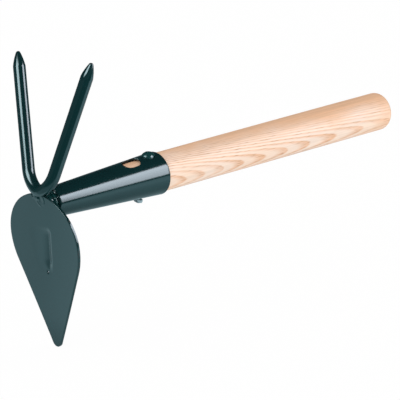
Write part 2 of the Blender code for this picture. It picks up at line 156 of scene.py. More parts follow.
def new_material(name: str) -> tuple[Material, NodeTree, Node]:
    """Makes a material.

    Args:
        name: The material's name.

    Returns:
        The material, its node tree and its Principled shader.
    """
    made = bpy.data.materials.new(name)
    made.use_nodes = True
    return made, made.node_tree, made.node_tree.nodes["Principled BSDF"]


@dataclass(frozen=True)
class StovedEnamel:
    """Alkyd enamel sprayed on steel and stoved.

    It gives a dark, glossy skin with a faint orange peel, and it pulls thin over sharp edges,
    where the brown primer shows.
    """

    name: str = "stoved_enamel"
    colour: str = "#0C2C2E"
    deep: str = "#0A2628"
    sheen_tint: str = "#E9FBFF"
    primer: str = "#2B1A16"
    roughness: float = 0.09
    ior: float = 1.52
    tone_mm: float = 24.0
    peel_mm: float = 2.6
    peel_depth_mm: float = 0.010
    chip_mm: float = 1.1
    bare_limits: tuple[float, float] = (0.50, 0.72)
    bare_roughness: float = 0.3
    haze: float = 1.6

    def make(self) -> Material:
        """Builds the material.

        Returns:
            The material.
        """
        made, tree, shader = new_material(self.name)
        place = add_node(tree, "ShaderNodeTexCoord").outputs["Object"]
        tone = add_node(
            tree,
            "ShaderNodeTexNoise",
            {"Vector": place, "Scale": per_metre(self.tone_mm), "Detail": 3.0},
        )
        coat = add_node(
            tree,
            "ShaderNodeMix",
            {0: tone, 6: linear(self.colour), 7: linear(self.deep)},
            data_type="RGBA",
        )
        worn = add_node(tree, "ShaderNodeAttribute", attribute_name=WEAR)
        chip = add_node(
            tree,
            "ShaderNodeTexNoise",
            {"Vector": place, "Scale": per_metre(self.chip_mm), "Detail": 4.0},
        )
        bare = add_node(tree, "ShaderNodeMath", [worn.outputs["Fac"], chip], operation="MULTIPLY")
        bare = add_node(tree, "ShaderNodeMapRange", [bare, *self.bare_limits])
        colour = add_node(
            tree,
            "ShaderNodeMix",
            {0: bare, 6: coat.outputs[2], 7: linear(self.primer)},
            data_type="RGBA",
        )
        tree.links.new(colour.outputs[2], shader.inputs["Base Color"])
        haze = add_node(
            tree,
            "ShaderNodeMapRange",
            [tone, *NOISE_MIDDLE, self.roughness, self.roughness * self.haze],
        )
        rough = add_node(
            tree,
            "ShaderNodeMath",
            [bare, self.bare_roughness, haze],
            operation="MULTIPLY_ADD",
        )
        tree.links.new(rough.outputs[0], shader.inputs["Roughness"])
        peel = add_node(
            tree,
            "ShaderNodeTexNoise",
            {"Vector": place, "Scale": per_metre(self.peel_mm), "Detail": 1.0},
        )
        bump = add_node(
            tree,
            "ShaderNodeBump",
            {"Strength": 1.0, "Distance": self.peel_depth_mm * MILLIMETRE, "Height": peel},
        )
        tree.links.new(bump.outputs[0], shader.inputs["Normal"])
        shader.inputs["IOR"].default_value = self.ior
        shader.inputs["Specular Tint"].default_value = linear(self.sheen_tint)
        return made


@dataclass(frozen=True)
class VarnishedAsh:
    """Ash turned to a rod, sanded and given one coat of clear satin varnish.

    Slow-grown pale latewood alternates with thin, warm, porous earlywood. Where the rod's side
    lies along the rings they run out in pointed arches, and across them they show as fine lines.
    The pith lay beyond the side that is opposite flat_side, and there the wood is warmer.
    """

    name: str = "varnished_ash"
    latewood: str = "#EADFD8"
    earlywood: str = "#E6B896"
    pore: str = "#BE8A66"
    blush: str = "#F6D0B0"
    heart: str = "#EBBB94"
    heart_reach: float = 0.011
    heart_growth: float = 0.045
    heart_from_end: float = 0.20
    heart_fade: tuple[float, float] = (0.6, 0.8)
    heart_pores: float = 0.35
    patch_mm: float = 28.0
    patch_reach: float = 0.020
    blush_mm: float = 60.0
    ring_mm: float = 1.25
    earlywood_fade: tuple[float, float] = (0.05, 0.62)
    earlywood_onset: float = 0.90
    weakest_ring: float = 0.45
    pith_distance: float = 0.075
    flat_side: tuple[float, float] = (-0.9043, -0.4267)
    run_out: float = 0.033
    run_out_growth: float = 0.096
    wander_reach_mm: float = 1.1
    wander_length_mm: float = 111.11
    wander_width_mm: float = 18.182
    wander_roughness: float = 0.58
    # Real pores are about 0.3 mm wide, too fine to show, so they are drawn wider.
    pore_mm: float = 0.55
    pore_length_mm: float = 9.0
    pore_limits: tuple[float, float] = (0.52, 0.68)
    fibre_mm: float = 1.3
    fibre_length_mm: float = 60.0
    fibre_shade: tuple[float, float] = (0.91, 1.03)
    relief: float = 0.6
    relief_mm: float = 0.03
    roughness: float = 0.52
    earlywood_haze: float = 0.12
    gloss: float = 0.35
    ior: float = 1.5

    def _ring_phase(self, tree: NodeTree, place: NodeSocket) -> NodeSocket:
        """Counts the rings outward from the pith.

        Args:
            tree: The node tree.
            place: The point on the rod.

        Returns:
            An output that rises by one for each year's ring.
        """
        along, across, up = add_node(tree, "ShaderNodeSeparateXYZ", [place]).outputs
        pith = [share * self.pith_distance for share in self.flat_side]
        side = add_node(tree, "ShaderNodeMath", [across, pith[0]], operation="ADD")
        height = add_node(tree, "ShaderNodeMath", [up, pith[1]], operation="ADD")
        offset = add_node(tree, "ShaderNodeCombineXYZ", {1: side, 2: height})
        radius = add_node(tree, "ShaderNodeVectorMath", [offset], operation="LENGTH")
        growth = add_node(
            tree,
            "ShaderNodeMath",
            [along, self.run_out_growth, -self.run_out],
            operation="MULTIPLY_ADD",
        )
        slant = add_node(
            tree,
            "ShaderNodeMath",
            [growth, along, radius.outputs["Value"]],
            operation="MULTIPLY_ADD",
        )
        narrow = per_metre(self.wander_width_mm)
        wander_grid = (per_metre(self.wander_length_mm), narrow, narrow)
        stretched = add_node(tree, "ShaderNodeVectorMath", [place, wander_grid], operation="MULTIPLY")
        wander = add_node(
            tree,
            "ShaderNodeTexNoise",
            {"Vector": stretched, "Scale": 1.0, "Detail": 4.0, "Roughness": self.wander_roughness},
        )
        bent = add_node(
            tree,
            "ShaderNodeMath",
            [wander, self.wander_reach_mm * MILLIMETRE, slant],
            operation="MULTIPLY_ADD",
        )
        phase = add_node(tree, "ShaderNodeMath", [bent, per_metre(self.ring_mm)], operation="MULTIPLY")
        return phase.outputs[0]

    def _heart_share(self, tree: NodeTree, place: NodeSocket) -> NodeSocket:
        """How much of the warmer heartwood shows: most on the pith's side, and more towards the free end.

        Args:
            tree: The node tree.
            place: The point on the rod.

        Returns:
            An output from 0, pale wood, to 1, heartwood.
        """
        outward = (-self.heart_growth, *self.flat_side)
        reach = add_node(tree, "ShaderNodeVectorMath", [place, outward], operation="DOT_PRODUCT")
        patch = add_node(
            tree,
            "ShaderNodeTexNoise",
            {"Vector": place, "Scale": per_metre(self.patch_mm), "Detail": 2.0},
        )
        reach = add_node(
            tree,
            "ShaderNodeMath",
            [patch, -self.patch_reach, reach.outputs["Value"]],
            operation="MULTIPLY_ADD",
        )
        middle = self.heart_growth * self.heart_from_end - self.patch_reach * NOISE_MEAN
        start = middle - self.heart_fade[0] * self.heart_reach
        end = middle + self.heart_fade[1] * self.heart_reach
        share = add_node(
            tree,
            "ShaderNodeMapRange",
            [reach, start, end, 1.0, 0.0],
            interpolation_type="SMOOTHSTEP",
        )
        return share.outputs[0]

    def make(self) -> Material:
        """Builds the material.

        Returns:
            The material.
        """
        made, tree, shader = new_material(self.name)
        place = add_node(tree, "ShaderNodeTexCoord").outputs["Object"]
        phase = self._ring_phase(tree, place)
        year = add_node(tree, "ShaderNodeMath", [phase], operation="FLOOR")
        growth = add_node(tree, "ShaderNodeMath", [phase], operation="FRACT")
        vigour = add_node(tree, "ShaderNodeTexWhiteNoise", {"W": year}, noise_dimensions="1D")
        spring = add_node(
            tree,
            "ShaderNodeMapRange",
            [growth, *self.earlywood_fade, 1.0, 0.0],
            interpolation_type="SMOOTHSTEP",
        )
        onset = add_node(tree, "ShaderNodeMapRange", [growth, self.earlywood_onset, 1.0])
        early = add_node(tree, "ShaderNodeMath", [spring, onset], operation="MAXIMUM")
        weight = add_node(tree, "ShaderNodeMapRange", {0: vigour, 3: self.weakest_ring, 4: 1.0})
        early = add_node(tree, "ShaderNodeMath", [early, weight], operation="MULTIPLY")
        drawn = per_metre(self.pore_mm)
        pore_grid = (per_metre(self.pore_length_mm), drawn, drawn)
        stretched = add_node(tree, "ShaderNodeVectorMath", [place, pore_grid], operation="MULTIPLY")
        pore = add_node(tree, "ShaderNodeTexNoise", {"Vector": stretched, "Scale": 1.0, "Detail": 1.0})
        pore = add_node(tree, "ShaderNodeMapRange", [pore, *self.pore_limits])
        pore = add_node(tree, "ShaderNodeMath", [pore, early], operation="MULTIPLY")
        heart = self._heart_share(tree, place)
        closed = add_node(tree, "ShaderNodeMapRange", {0: heart, 3: 1.0, 4: self.heart_pores})
        pore = add_node(tree, "ShaderNodeMath", [pore, closed], operation="MULTIPLY")
        fine = per_metre(self.fibre_mm)
        fibre_grid = (per_metre(self.fibre_length_mm), fine, fine)
        stretched = add_node(tree, "ShaderNodeVectorMath", [place, fibre_grid], operation="MULTIPLY")
        fibre = add_node(tree, "ShaderNodeTexNoise", {"Vector": stretched, "Scale": 1.0, "Detail": 3.0})
        blush = add_node(
            tree,
            "ShaderNodeTexNoise",
            {"Vector": place, "Scale": per_metre(self.blush_mm), "Detail": 1.0},
        )
        pale = add_node(
            tree,
            "ShaderNodeMix",
            {0: blush, 6: linear(self.latewood), 7: linear(self.blush)},
            data_type="RGBA",
        )
        pale = add_node(
            tree,
            "ShaderNodeMix",
            {0: heart, 6: pale.outputs[2], 7: linear(self.heart)},
            data_type="RGBA",
        )
        ringed = add_node(
            tree,
            "ShaderNodeMix",
            {0: early, 6: pale.outputs[2], 7: linear(self.earlywood)},
            data_type="RGBA",
        )
        pitted = add_node(
            tree,
            "ShaderNodeMix",
            {0: pore, 6: ringed.outputs[2], 7: linear(self.pore)},
            data_type="RGBA",
        )
        shade = add_node(tree, "ShaderNodeMapRange", [fibre, *NOISE_MIDDLE, *self.fibre_shade])
        wood = add_node(tree, "ShaderNodeVectorMath", {0: pitted.outputs[2], 3: shade}, operation="SCALE")
        tree.links.new(wood.outputs[0], shader.inputs["Base Color"])
        rough = add_node(
            tree,
            "ShaderNodeMapRange",
            {0: early, 3: self.roughness, 4: self.roughness + self.earlywood_haze},
        )
        tree.links.new(rough.outputs[0], shader.inputs["Roughness"])
        relief = add_node(tree, "ShaderNodeMath", [early, pore], operation="ADD")
        bump = add_node(
            tree,
            "ShaderNodeBump",
            {"Strength": self.relief, "Distance": self.relief_mm * MILLIMETRE, "Height": relief},
            invert=True,
        )
        tree.links.new(bump.outputs[0], shader.inputs["Normal"])
        shader.inputs["IOR"].default_value = self.ior
        shader.inputs["Specular IOR Level"].default_value = self.gloss
        return made


@dataclass(frozen=True)
class ZincPlate:
    """Cold-forged steel with bright zinc plating: a grey-white metal with darker, duller clouds that are
    painted shade on its facets.
    """

    name: str = "bright_zinc_plate"
    colour: str = "#F0F1F3"
    # The colour of the darker clouds: painted shade on the nut's facets.
    painted_shade_colour: str = "#6A7074"
    roughness: float = 0.26
    haze: tuple[float, float] = (0.7, 1.5)
    cloud_mm: float = 3.4
    cloud_limits: tuple[float, float] = (0.50, 0.58)
    # The crystals are finer than this, too fine to show, so they are drawn coarser.
    grain_mm: float = 0.4
    grain_depth_mm: float = 0.01
    grain_strength: float = 0.5

    def make(self) -> Material:
        """Builds the material.

        Returns:
            The material.
        """
        made, tree, shader = new_material(self.name)
        place = add_node(tree, "ShaderNodeTexCoord").outputs["Object"]
        cloud = add_node(
            tree,
            "ShaderNodeTexNoise",
            {"Vector": place, "Scale": per_metre(self.cloud_mm), "Detail": 3.0},
        )
        # Painted shade: where the clouds lie, the facets are darkened and dulled.
        painted_shade_mask = add_node(tree, "ShaderNodeMapRange", [cloud, *self.cloud_limits])
        colour = add_node(
            tree,
            "ShaderNodeMix",
            {0: painted_shade_mask, 6: linear(self.colour), 7: linear(self.painted_shade_colour)},
            data_type="RGBA",
        )
        tree.links.new(colour.outputs[2], shader.inputs["Base Color"])
        clean, hazy = (self.roughness * share for share in self.haze)
        rough = add_node(tree, "ShaderNodeMapRange", {0: painted_shade_mask, 3: clean, 4: hazy})
        tree.links.new(rough.outputs[0], shader.inputs["Roughness"])
        grain = add_node(
            tree,
            "ShaderNodeTexNoise",
            {"Vector": place, "Scale": per_metre(self.grain_mm), "Detail": 1.0},
        )
        bump = add_node(
            tree,
            "ShaderNodeBump",
            {
                "Strength": self.grain_strength,
                "Distance": self.grain_depth_mm * MILLIMETRE,
                "Height": grain,
            },
        )
        tree.links.new(bump.outputs[0], shader.inputs["Normal"])
        shader.inputs["Metallic"].default_value = 1.0
        return made


@dataclass(frozen=True)
class Finishes:
    """The built materials."""

    enamel: Material
    # Enamel painted lighter than the socket's: painted light that offsets the shade round the neck.
    painted_light_enamel: Material
    ash: Material
    zinc: Material


def sweep(start: float, end: float, steps: int) -> list[float]:
    """Equal steps from start to end in degrees, given in radians."""
    return [math.radians(start + (end - start) * i / steps) for i in range(steps + 1)]


def spread(start: float, end: float, steps: int) -> list[float]:
    """Equal steps from start to end."""
    return [start + (end - start) * i / steps for i in range(steps + 1)]


def around(count: int) -> list[float]:
    """Angles at equal steps round a circle, in radians."""
    return [math.tau * i / count for i in range(count)]


def smooth(value: float) -> float:
    """An S-shaped rise from 0 to 1 as the value goes from 0 to 1."""
    held = min(max(value, 0.0), 1.0)
    return held * held * (3 - 2 * held)


def creased(value: float) -> float:
    """A rise from 0 to 1 that starts softly and ends in a crease."""
    held = min(max(value, 0.0), 1.0)
    return (held * held + smooth(held)) / 2


def ripple(place: Vector, wavelength_mm: float) -> float:
    """Smooth noise from -1 to 1 at a point, with this wavelength in millimetres."""
    return noise.noise(place * per_metre(wavelength_mm))


def bridge(bm: BMesh, first: Sequence, second: Sequence) -> None:
    """Joins two closed rows of as many vertices with quads.

    Args:
        bm: The mesh that takes the faces.
        first: One row.
        second: The other row.
    """
    count = len(first)
    for i in range(count):
        j = (i + 1) % count
        bm.faces.new((first[i], first[j], second[j], second[i]))


def bridge_all(bm: BMesh, rows: Sequence[Sequence]) -> None:
    """Joins each closed row of vertices to the next."""
    for first, second in zip(rows, rows[1:]):
        bridge(bm, first, second)


def fill_grid(bm: BMesh, grid: Sequence[Sequence]) -> list:
    """Fills a grid of vertices with quads.

    Args:
        bm: The mesh.
        grid: Rows of as many vertices each.

    Returns:
        The closed loop of vertices round the grid.
    """
    for low, high in zip(grid, grid[1:]):
        for i in range(len(low) - 1):
            bm.faces.new((low[i], low[i + 1], high[i + 1], high[i]))
    last = [row[-1] for row in grid[:-1]]
    first = [row[0] for row in grid[:0:-1]]
    return grid[0][:-1] + last + grid[-1][:0:-1] + first


def loft(rings: Sequence[Ring], ends: Ends) -> BMesh:
    """Joins rings of points.

    Args:
        rings: Closed rings of as many points each.
        ends: Capped, or the last ring joined to the first.

    Returns:
        A closed mesh.
    """
    bm = bmesh.new()
    rows = [[bm.verts.new(point) for point in ring] for ring in rings]
    bridge_all(bm, rows)
    if ends is Ends.JOINED:
        bridge(bm, rows[-1], rows[0])
    else:
        bm.faces.new(rows[0])
        bm.faces.new(rows[-1])
    return bm


def turned(
    profile: Profile, segments: int, place: Matrix, roughen: Callable[[Vector], float] | None = None
) -> list[Ring]:
    """Turns a profile about an axis.

    Args:
        profile: (along, radius) points.
        segments: Points in each ring.
        place: Where the axis lies: it turns local Z to the axis.
        roughen: How much to add to the radius at a point.

    Returns:
        The rings.
    """
    rings = []
    for along, radius in profile:
        ring = []
        for angle in around(segments):
            point = place @ Vector((radius * math.cos(angle), radius * math.sin(angle), along))
            if roughen:
                grown = radius + roughen(point)
                point = place @ Vector((grown * math.cos(angle), grown * math.sin(angle), along))
            ring.append(point)
        rings.append(ring)
    return rings


def along_x(x: float) -> Matrix:
    """The frame of something turned about the tool's axis, measured along +X from x."""
    return Matrix.Translation((x, 0.0, 0.0)) @ Matrix.Rotation(math.radians(90), 4, "Y")


def as_object(name: str, bm: BMesh, crease: float = 35.0) -> Object:
    """Makes a smooth-shaded object.

    Args:
        name: The object's name.
        bm: A closed mesh, which is used up.
        crease: The angle above which an edge stays sharp.

    Returns:
        The object, in the scene.
    """
    bmesh.ops.recalc_face_normals(bm, faces=bm.faces)
    mesh = bpy.data.meshes.new(name)
    bm.to_mesh(mesh)
    bm.free()
    mesh.shade_smooth()
    mesh.set_sharp_from_angle(angle=math.radians(crease))
    obj = bpy.data.objects.new(name, mesh)
    bpy.context.scene.collection.objects.link(obj)
    return obj


def rectangle(name: str, half_width: float, half_height: float, z: float = 0.0) -> Object:
    """Makes a flat rectangle round the Z axis.

    Args:
        name: The object's name.
        half_width: Half its size along X.
        half_height: Half its size along Y.
        z: Its height.

    Returns:
        The object, in the scene.
    """
    bm = bmesh.new()
    signs = ((-1, -1), (1, -1), (1, 1), (-1, 1))
    bm.faces.new([bm.verts.new((half_width * x, half_height * y, z)) for x, y in signs])
    return as_object(name, bm)


def cut(obj: Object, cutter: BMesh) -> None:
    """Cuts a closed mesh out of an object for good.

    Args:
        obj: The piece, which gets a new mesh.
        cutter: A closed mesh, which is used up.
    """
    tool = as_object("cutter", cutter)
    modifier = obj.modifiers.new("cut", "BOOLEAN")
    modifier.object = tool
    modifier.solver = "EXACT"
    graph = bpy.context.evaluated_depsgraph_get()
    result = bpy.data.meshes.new_from_object(obj.evaluated_get(graph), depsgraph=graph)
    obj.modifiers.clear()
    obj.data = result
    bpy.data.objects.remove(tool)


def set_wear(obj: Object, amount: Callable[[Vector], float]) -> None:
    """Stores how thin the enamel is at each point.

    Args:
        obj: The enamelled piece.
        amount: Gives 0 for a full coat and 1 for a sharp edge.
    """
    layer = obj.data.attributes.new(WEAR, "FLOAT", "POINT")
    layer.data.foreach_set("value", [amount(vertex.co) for vertex in obj.data.vertices])


def dress(obj: Object, material: Material, slot: Slot, *nodes: str) -> Object:
    """Finishes a piece: its material, the body it rides on and the solids it stands for.

    Args:
        obj: The piece.
        material: Its finish.
        slot: Not used.
        *nodes: The solids that it stands for.

    Returns:
        The piece.
    """
    obj.data.materials.clear()
    obj.data.materials.append(material)
    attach(obj, BODY)
    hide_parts(*nodes)
    LOG.info("%s: %d faces", obj.name, len(obj.data.polygons))
    return obj


@dataclass
class Grip:
    """The ash grip: a tenon inside the socket, a long slight taper and a crowned free end."""

    mouth_radius: float = 0.0140
    end_radius: float = 0.0145
    swell: float = 0.0001
    tenon_start: float = 0.0140
    tenon_chamfer: float = 0.0015
    tenon_slack: float = 0.0005
    corner_radius: float = 0.0049
    end_slope: float = 15.0
    flat_radius: float = 0.0040
    flat_rings: tuple[float, float] = (0.6, 0.2)
    wander: float = 0.00006
    wander_mm: float = 30.0
    wander_fade: tuple[float, float] = (0.01, 0.02)
    mouth_step: float = 0.002
    segments: int = 144
    tenon_steps: int = 30
    body_steps: int = 70
    corner_steps: int = 14
    crown_steps: int = 8

    def profile(self, socket: "Socket") -> Profile:
        """The turned outline, as (x, radius) from the tenon to the free end.

        Args:
            socket: The socket, whose bore the tenon fits.

        Returns:
            The outline's points.
        """
        length = -MOUTH_X
        start = NOSE_X + self.tenon_start
        points = [
            (start, socket.bore(start) - self.tenon_slack - self.tenon_chamfer),
            (start + self.tenon_chamfer, socket.bore(start) - self.tenon_slack),
        ]
        points += [
            (x, socket.bore(x) - self.tenon_slack)
            for x in spread(start, MOUTH_X, self.tenon_steps)[1:]
        ]
        slope = math.radians(self.end_slope)
        span = self.end_radius - self.corner_radius * (1 - math.sin(slope)) - self.flat_radius
        crown = span / math.sin(slope)
        corner_x = -crown * (1 - math.cos(slope)) - self.corner_radius * math.cos(slope)
        for x in spread(MOUTH_X + self.mouth_step, corner_x, self.body_steps)[:-1]:
            share = (x - MOUTH_X) / length
            straight = self.mouth_radius + (self.end_radius - self.mouth_radius) * share
            points.append((x, straight + self.swell * 4 * share * (1 - share)))
        for angle in sweep(0, 90 - self.end_slope, self.corner_steps):
            radius = self.end_radius - self.corner_radius * (1 - math.cos(angle))
            points.append((corner_x + self.corner_radius * math.sin(angle), radius))
        for angle in sweep(self.end_slope, 0, self.crown_steps)[1:]:
            points.append((-crown * (1 - math.cos(angle)), self.flat_radius + crown * math.sin(angle)))
        points += [(0.0, self.flat_radius * share) for share in self.flat_rings]
        return points

    def build(self, socket: "Socket", bolt: "Bolt", finishes: Finishes) -> None:
        """Makes the grip with its bolt hole.

        Args:
            socket: The socket that takes the tenon.
            bolt: The bolt that passes through it.
            finishes: The built materials.
        """

        def sanding(point: Vector) -> float:
            """Hand sanding leaves the rod a little uneven outside the socket.

            Args:
                point: A point of the turned rod.

            Returns:
                What it adds to the radius.
            """
            at_mouth, at_end = self.wander_fade
            free = smooth((point.x - MOUTH_X) / at_mouth) * smooth(-point.x / at_end)
            return self.wander * free * ripple(point, self.wander_mm)

        rings = turned(self.profile(socket), self.segments, along_x(0.0), sanding)
        grip = as_object("ash_grip", loft(rings, Ends.CAPPED))
        cut(grip, bolt.hole())
        dress(grip, finishes.ash, Slot.ASH, "grip")


@dataclass
class Socket:
    """The cone rolled from sheet, with rounded lips and a stamped window."""

    wall: float = 0.0014
    nose_bore: float = 0.0090
    mouth_bore: float = 0.0141
    lip: float = 0.00042
    mouth_round: float = 0.0010
    lip_flatness: float = 0.9
    lip_steps: tuple[int, int] = (10, 6)
    window_roll: float = 15.0
    window_from_mouth: float = 0.0256
    window_length: float = 0.0145
    window_width: float = 0.0100
    window_edge: float = 0.00060
    window_edge_steps: tuple[int, int] = (5, 4)
    burr: float = 0.00026
    burr_waves: float = 4.0
    burr_seed: float = 1.7
    rim_raise: float = 0.00055
    rim_reach: float = 0.0008
    wave: float = 0.00003
    wave_mm: float = 17.0
    segments: int = 144
    rows: int = 96
    patch_margin: float = 0.0022
    patch_rows: int = 8
    inner_rows: int = 3
    worn_band: float = 0.0007

    def bore(self, x: float) -> float:
        """The inner radius at x."""
        return self.nose_bore + (self.mouth_bore - self.nose_bore) * (x - NOSE_X) / (MOUTH_X - NOSE_X)

    def radius(self, x: float) -> float:
        """The outer radius at x."""
        return self.bore(x) + self.wall

    def _point(self, x: float, side: float, drop: float) -> Vector:
        """A point over the window's side of the socket.

        Args:
            x: Place along the tool.
            side: Distance to the side of the window's middle line.
            drop: Depth under the outer surface.

        Returns:
            The point in the tool's frame.
        """
        reach = self.radius(x) - drop
        local = Vector((x, side, math.sqrt(reach * reach - side * side)))
        return Matrix.Rotation(math.radians(self.window_roll), 3, "X") @ local

    def _stadium(self, angle: float, offset: float) -> tuple[float, float]:
        """The window's outline grown by offset, where a line from its centre at this angle meets it.

        Args:
            angle: The line's angle from the window's long axis, in radians.
            offset: How far the outline has grown.

        Returns:
            Where they meet: the run along the tool and the distance to the side.
        """
        half = self.window_width / 2 + offset
        straight = (self.window_length - self.window_width) / 2
        run, rise = math.cos(angle), math.sin(angle)
        if rise and abs(half / rise * run) <= straight:
            return half / abs(rise) * run, math.copysign(half, rise)
        reach = abs(straight * run) + math.sqrt(half * half - (straight * rise) ** 2)
        return reach * run, reach * rise

    def _surface(self, bm: BMesh, stations: Sequence[float], drop: float) -> list[list]:
        """Rows of vertices on the outer or the inner surface, the first column over the window.

        Args:
            bm: The mesh that takes the vertices.
            stations: Places along the tool.
            drop: Depth under the outer surface.

        Returns:
            A row of vertices for each station.
        """
        rows = []
        roll = Matrix.Rotation(math.radians(self.window_roll), 3, "X")
        for x in stations:
            row = []
            for angle in around(self.segments):
                reach = self.radius(x) - drop
                point = roll @ Vector((x, reach * math.sin(angle), reach * math.cos(angle)))
                grown = reach + self.wave * ripple(point, self.wave_mm)
                point = roll @ Vector((x, grown * math.sin(angle), grown * math.cos(angle)))
                row.append(bm.verts.new(point))
            rows.append(row)
        return rows

    def _hole_in_grid(self, stations: Sequence[float]) -> tuple[int, int, int]:
        """First row, last row and half the columns of the patch that holds the window.

        Args:
            stations: Places of the rows along the tool.

        Returns:
            The two row numbers and the number of columns.
        """
        centre = MOUTH_X - self.window_from_mouth
        half = self.window_length / 2 + self.patch_margin
        inside = [i for i, x in enumerate(stations) if abs(x - centre) <= half]
        column = math.tau * self.radius(centre) / self.segments
        columns = math.ceil((self.window_width / 2 + self.patch_margin) / column)
        return inside[0], inside[-1], columns

    def _skin(self, bm: BMesh, rows: list[list], hole: tuple[int, int, int]) -> list:
        """Fills the surface between rows outside the patch.

        Args:
            bm: The mesh.
            rows: The surface's rows of vertices.
            hole: The patch's rows and half width in columns.

        Returns:
            The loop of vertices round the patch.
        """
        low, high, half = hole
        count = self.segments
        for i in range(len(rows) - 1):
            for j in range(-count // 2, count // 2):
                if low <= i < high and -half <= j < half:
                    continue
                k = (j + 1) % count
                bm.faces.new((rows[i][j], rows[i][k], rows[i + 1][k], rows[i + 1][j]))
        loop = [rows[low][j] for j in range(-half, half)]
        loop += [rows[i][half] for i in range(low, high)]
        loop += [rows[high][j] for j in range(half, -half, -1)]
        loop += [rows[i][-half] for i in range(high, low, -1)]
        for i in range(low + 1, high):
            for j in range(-half + 1, half):
                bm.verts.remove(rows[i][j])
        return loop

    def _window_rings(self, bm: BMesh, outer: list, inner: list) -> None:
        """Rings from the outer patch, round the window's rounded edge and back to the inner patch.

        Args:
            bm: The mesh that takes the rings.
            outer: The border of the outer patch.
            inner: The border of the inner patch.
        """
        centre = MOUTH_X - self.window_from_mouth
        unroll = Matrix.Rotation(math.radians(-self.window_roll), 3, "X")
        angles = []
        starts = {}
        for name, loop in (("outer", outer), ("inner", inner)):
            local = [unroll @ vertex.co for vertex in loop]
            starts[name] = [(point.x - centre, point.y) for point in local]
        for run, side in starts["outer"]:
            angles.append(math.atan2(side, run))
        edge = self.window_edge

        def ring(offset: float, drop: float, starting: list | None = None, share: float = 1.0) -> list:
            """One ring at an offset outside the outline, part of the way from a patch's border.

            Args:
                offset: Distance outside the window's outline.
                drop: Depth under the outer surface.
                starting: The border that the ring lies near, if it isn't on the edge.
                share: How far the ring is from that border, from 0 to 1.

            Returns:
                The ring's vertices.
            """
            made = []
            for i, angle in enumerate(angles):
                spot = Vector((math.cos(angle), math.sin(angle), 0.0)) * self.burr_waves
                ragged = self.burr * noise.noise(spot + Vector((0.0, 0.0, self.burr_seed)))
                run, side = self._stadium(angle, offset + ragged)
                if starting:
                    run = starting[i][0] + (run - starting[i][0]) * share
                    side = starting[i][1] + (side - starting[i][1]) * share
                away = math.hypot(run, side) - math.hypot(*self._stadium(angle, 0.0))
                far_side = smooth(side / self.window_width + 0.5)
                raised = self.rim_raise * far_side * math.exp(-((away / self.rim_reach) ** 2))
                made.append(bm.verts.new(self._point(centre + run, side, drop - raised)))
            return made

        rings = [outer]
        rings += [
            ring(edge, 0.0, starts["outer"], i / self.patch_rows)
            for i in range(1, self.patch_rows + 1)
        ]
        outer_steps, inner_steps = self.window_edge_steps
        for angle in sweep(0, 90, outer_steps)[1:]:
            rings.append(ring(edge * (1 - math.sin(angle)), edge * (1 - math.cos(angle))))
        for angle in sweep(0, 90, inner_steps):
            rings.append(ring(edge * (1 - math.cos(angle)), self.wall - edge * (1 - math.sin(angle))))
        for i in range(1, self.inner_rows):
            rings.append(ring(edge, self.wall, starts["inner"], 1 - i / self.inner_rows))
        rings.append(inner)
        bridge_all(bm, rings)

    def _lip_rings(self, bm: BMesh, x: float, outward: float) -> list[list]:
        """Rings round the wall's end at x, from the outer surface to the inner one.

        Args:
            bm: The mesh that takes the rings.
            x: The end's place along the tool.
            outward: 1 at the mouth and -1 at the nose.

        Returns:
            Rings of vertices.
        """
        rings = []
        roll = Matrix.Rotation(math.radians(self.window_roll), 3, "X")
        outer, inner = self.radius(x), self.bore(x)
        rounding = self.mouth_round if outward > 0 else self.lip
        outer_steps, inner_steps = self.lip_steps
        section = [
            (rounding * (1 - math.sin(angle)), outer - rounding * (1 - math.cos(angle)) * self.lip_flatness)
            for angle in sweep(0, 90, outer_steps)[1:]
        ]
        section += [
            (self.lip * (1 - math.cos(angle)), inner + self.lip * (1 - math.sin(angle)))
            for angle in sweep(0, 90, inner_steps)[:-1]
        ]
        for back, reach in section:
            ring = []
            for angle in around(self.segments):
                local = Vector((x - outward * back, reach * math.sin(angle), reach * math.cos(angle)))
                ring.append(bm.verts.new(roll @ local))
            rings.append(ring)
        return rings

    def _wear(self, point: Vector) -> float:
        """The coat is thin on the mouth's lip and on the window's edge.

        Args:
            point: A point of the surface.

        Returns:
            0 for a full coat and 1 for an edge.
        """
        local = Matrix.Rotation(math.radians(-self.window_roll), 3, "X") @ point
        away = MOUTH_X - point.x
        if local.z > 0:
            run, side = local.x - MOUTH_X + self.window_from_mouth, local.y
            outline = self._stadium(math.atan2(side, run), 0.0)
            away = min(away, max(math.hypot(run, side) - math.hypot(*outline), 0.0))
        return 1 - smooth(away / self.worn_band)

    def build(self, bolt: "Bolt", finishes: Finishes) -> None:
        """Makes the socket.

        Args:
            bolt: The bolt that passes through it.
            finishes: The built materials.
        """
        bm = bmesh.new()
        stations = spread(NOSE_X + self.lip, MOUTH_X - self.mouth_round, self.rows)
        hole = self._hole_in_grid(stations)
        outer = self._surface(bm, stations, 0.0)
        inner = self._surface(bm, stations, self.wall)
        mouth = self._lip_rings(bm, MOUTH_X, 1.0)
        nose = self._lip_rings(bm, NOSE_X, -1.0)
        outer_loop = self._skin(bm, outer, hole)
        inner_loop = self._skin(bm, inner, hole)
        self._window_rings(bm, outer_loop, inner_loop)
        for end, rings in ((-1, mouth), (0, nose)):
            bridge_all(bm, [outer[end], *rings, inner[end]])
        socket = as_object("socket_cone", bm)
        cut(socket, bolt.hole())
        set_wear(socket, self._wear)
        dress(socket, finishes.enamel, Slot.ENAMEL, "socket")


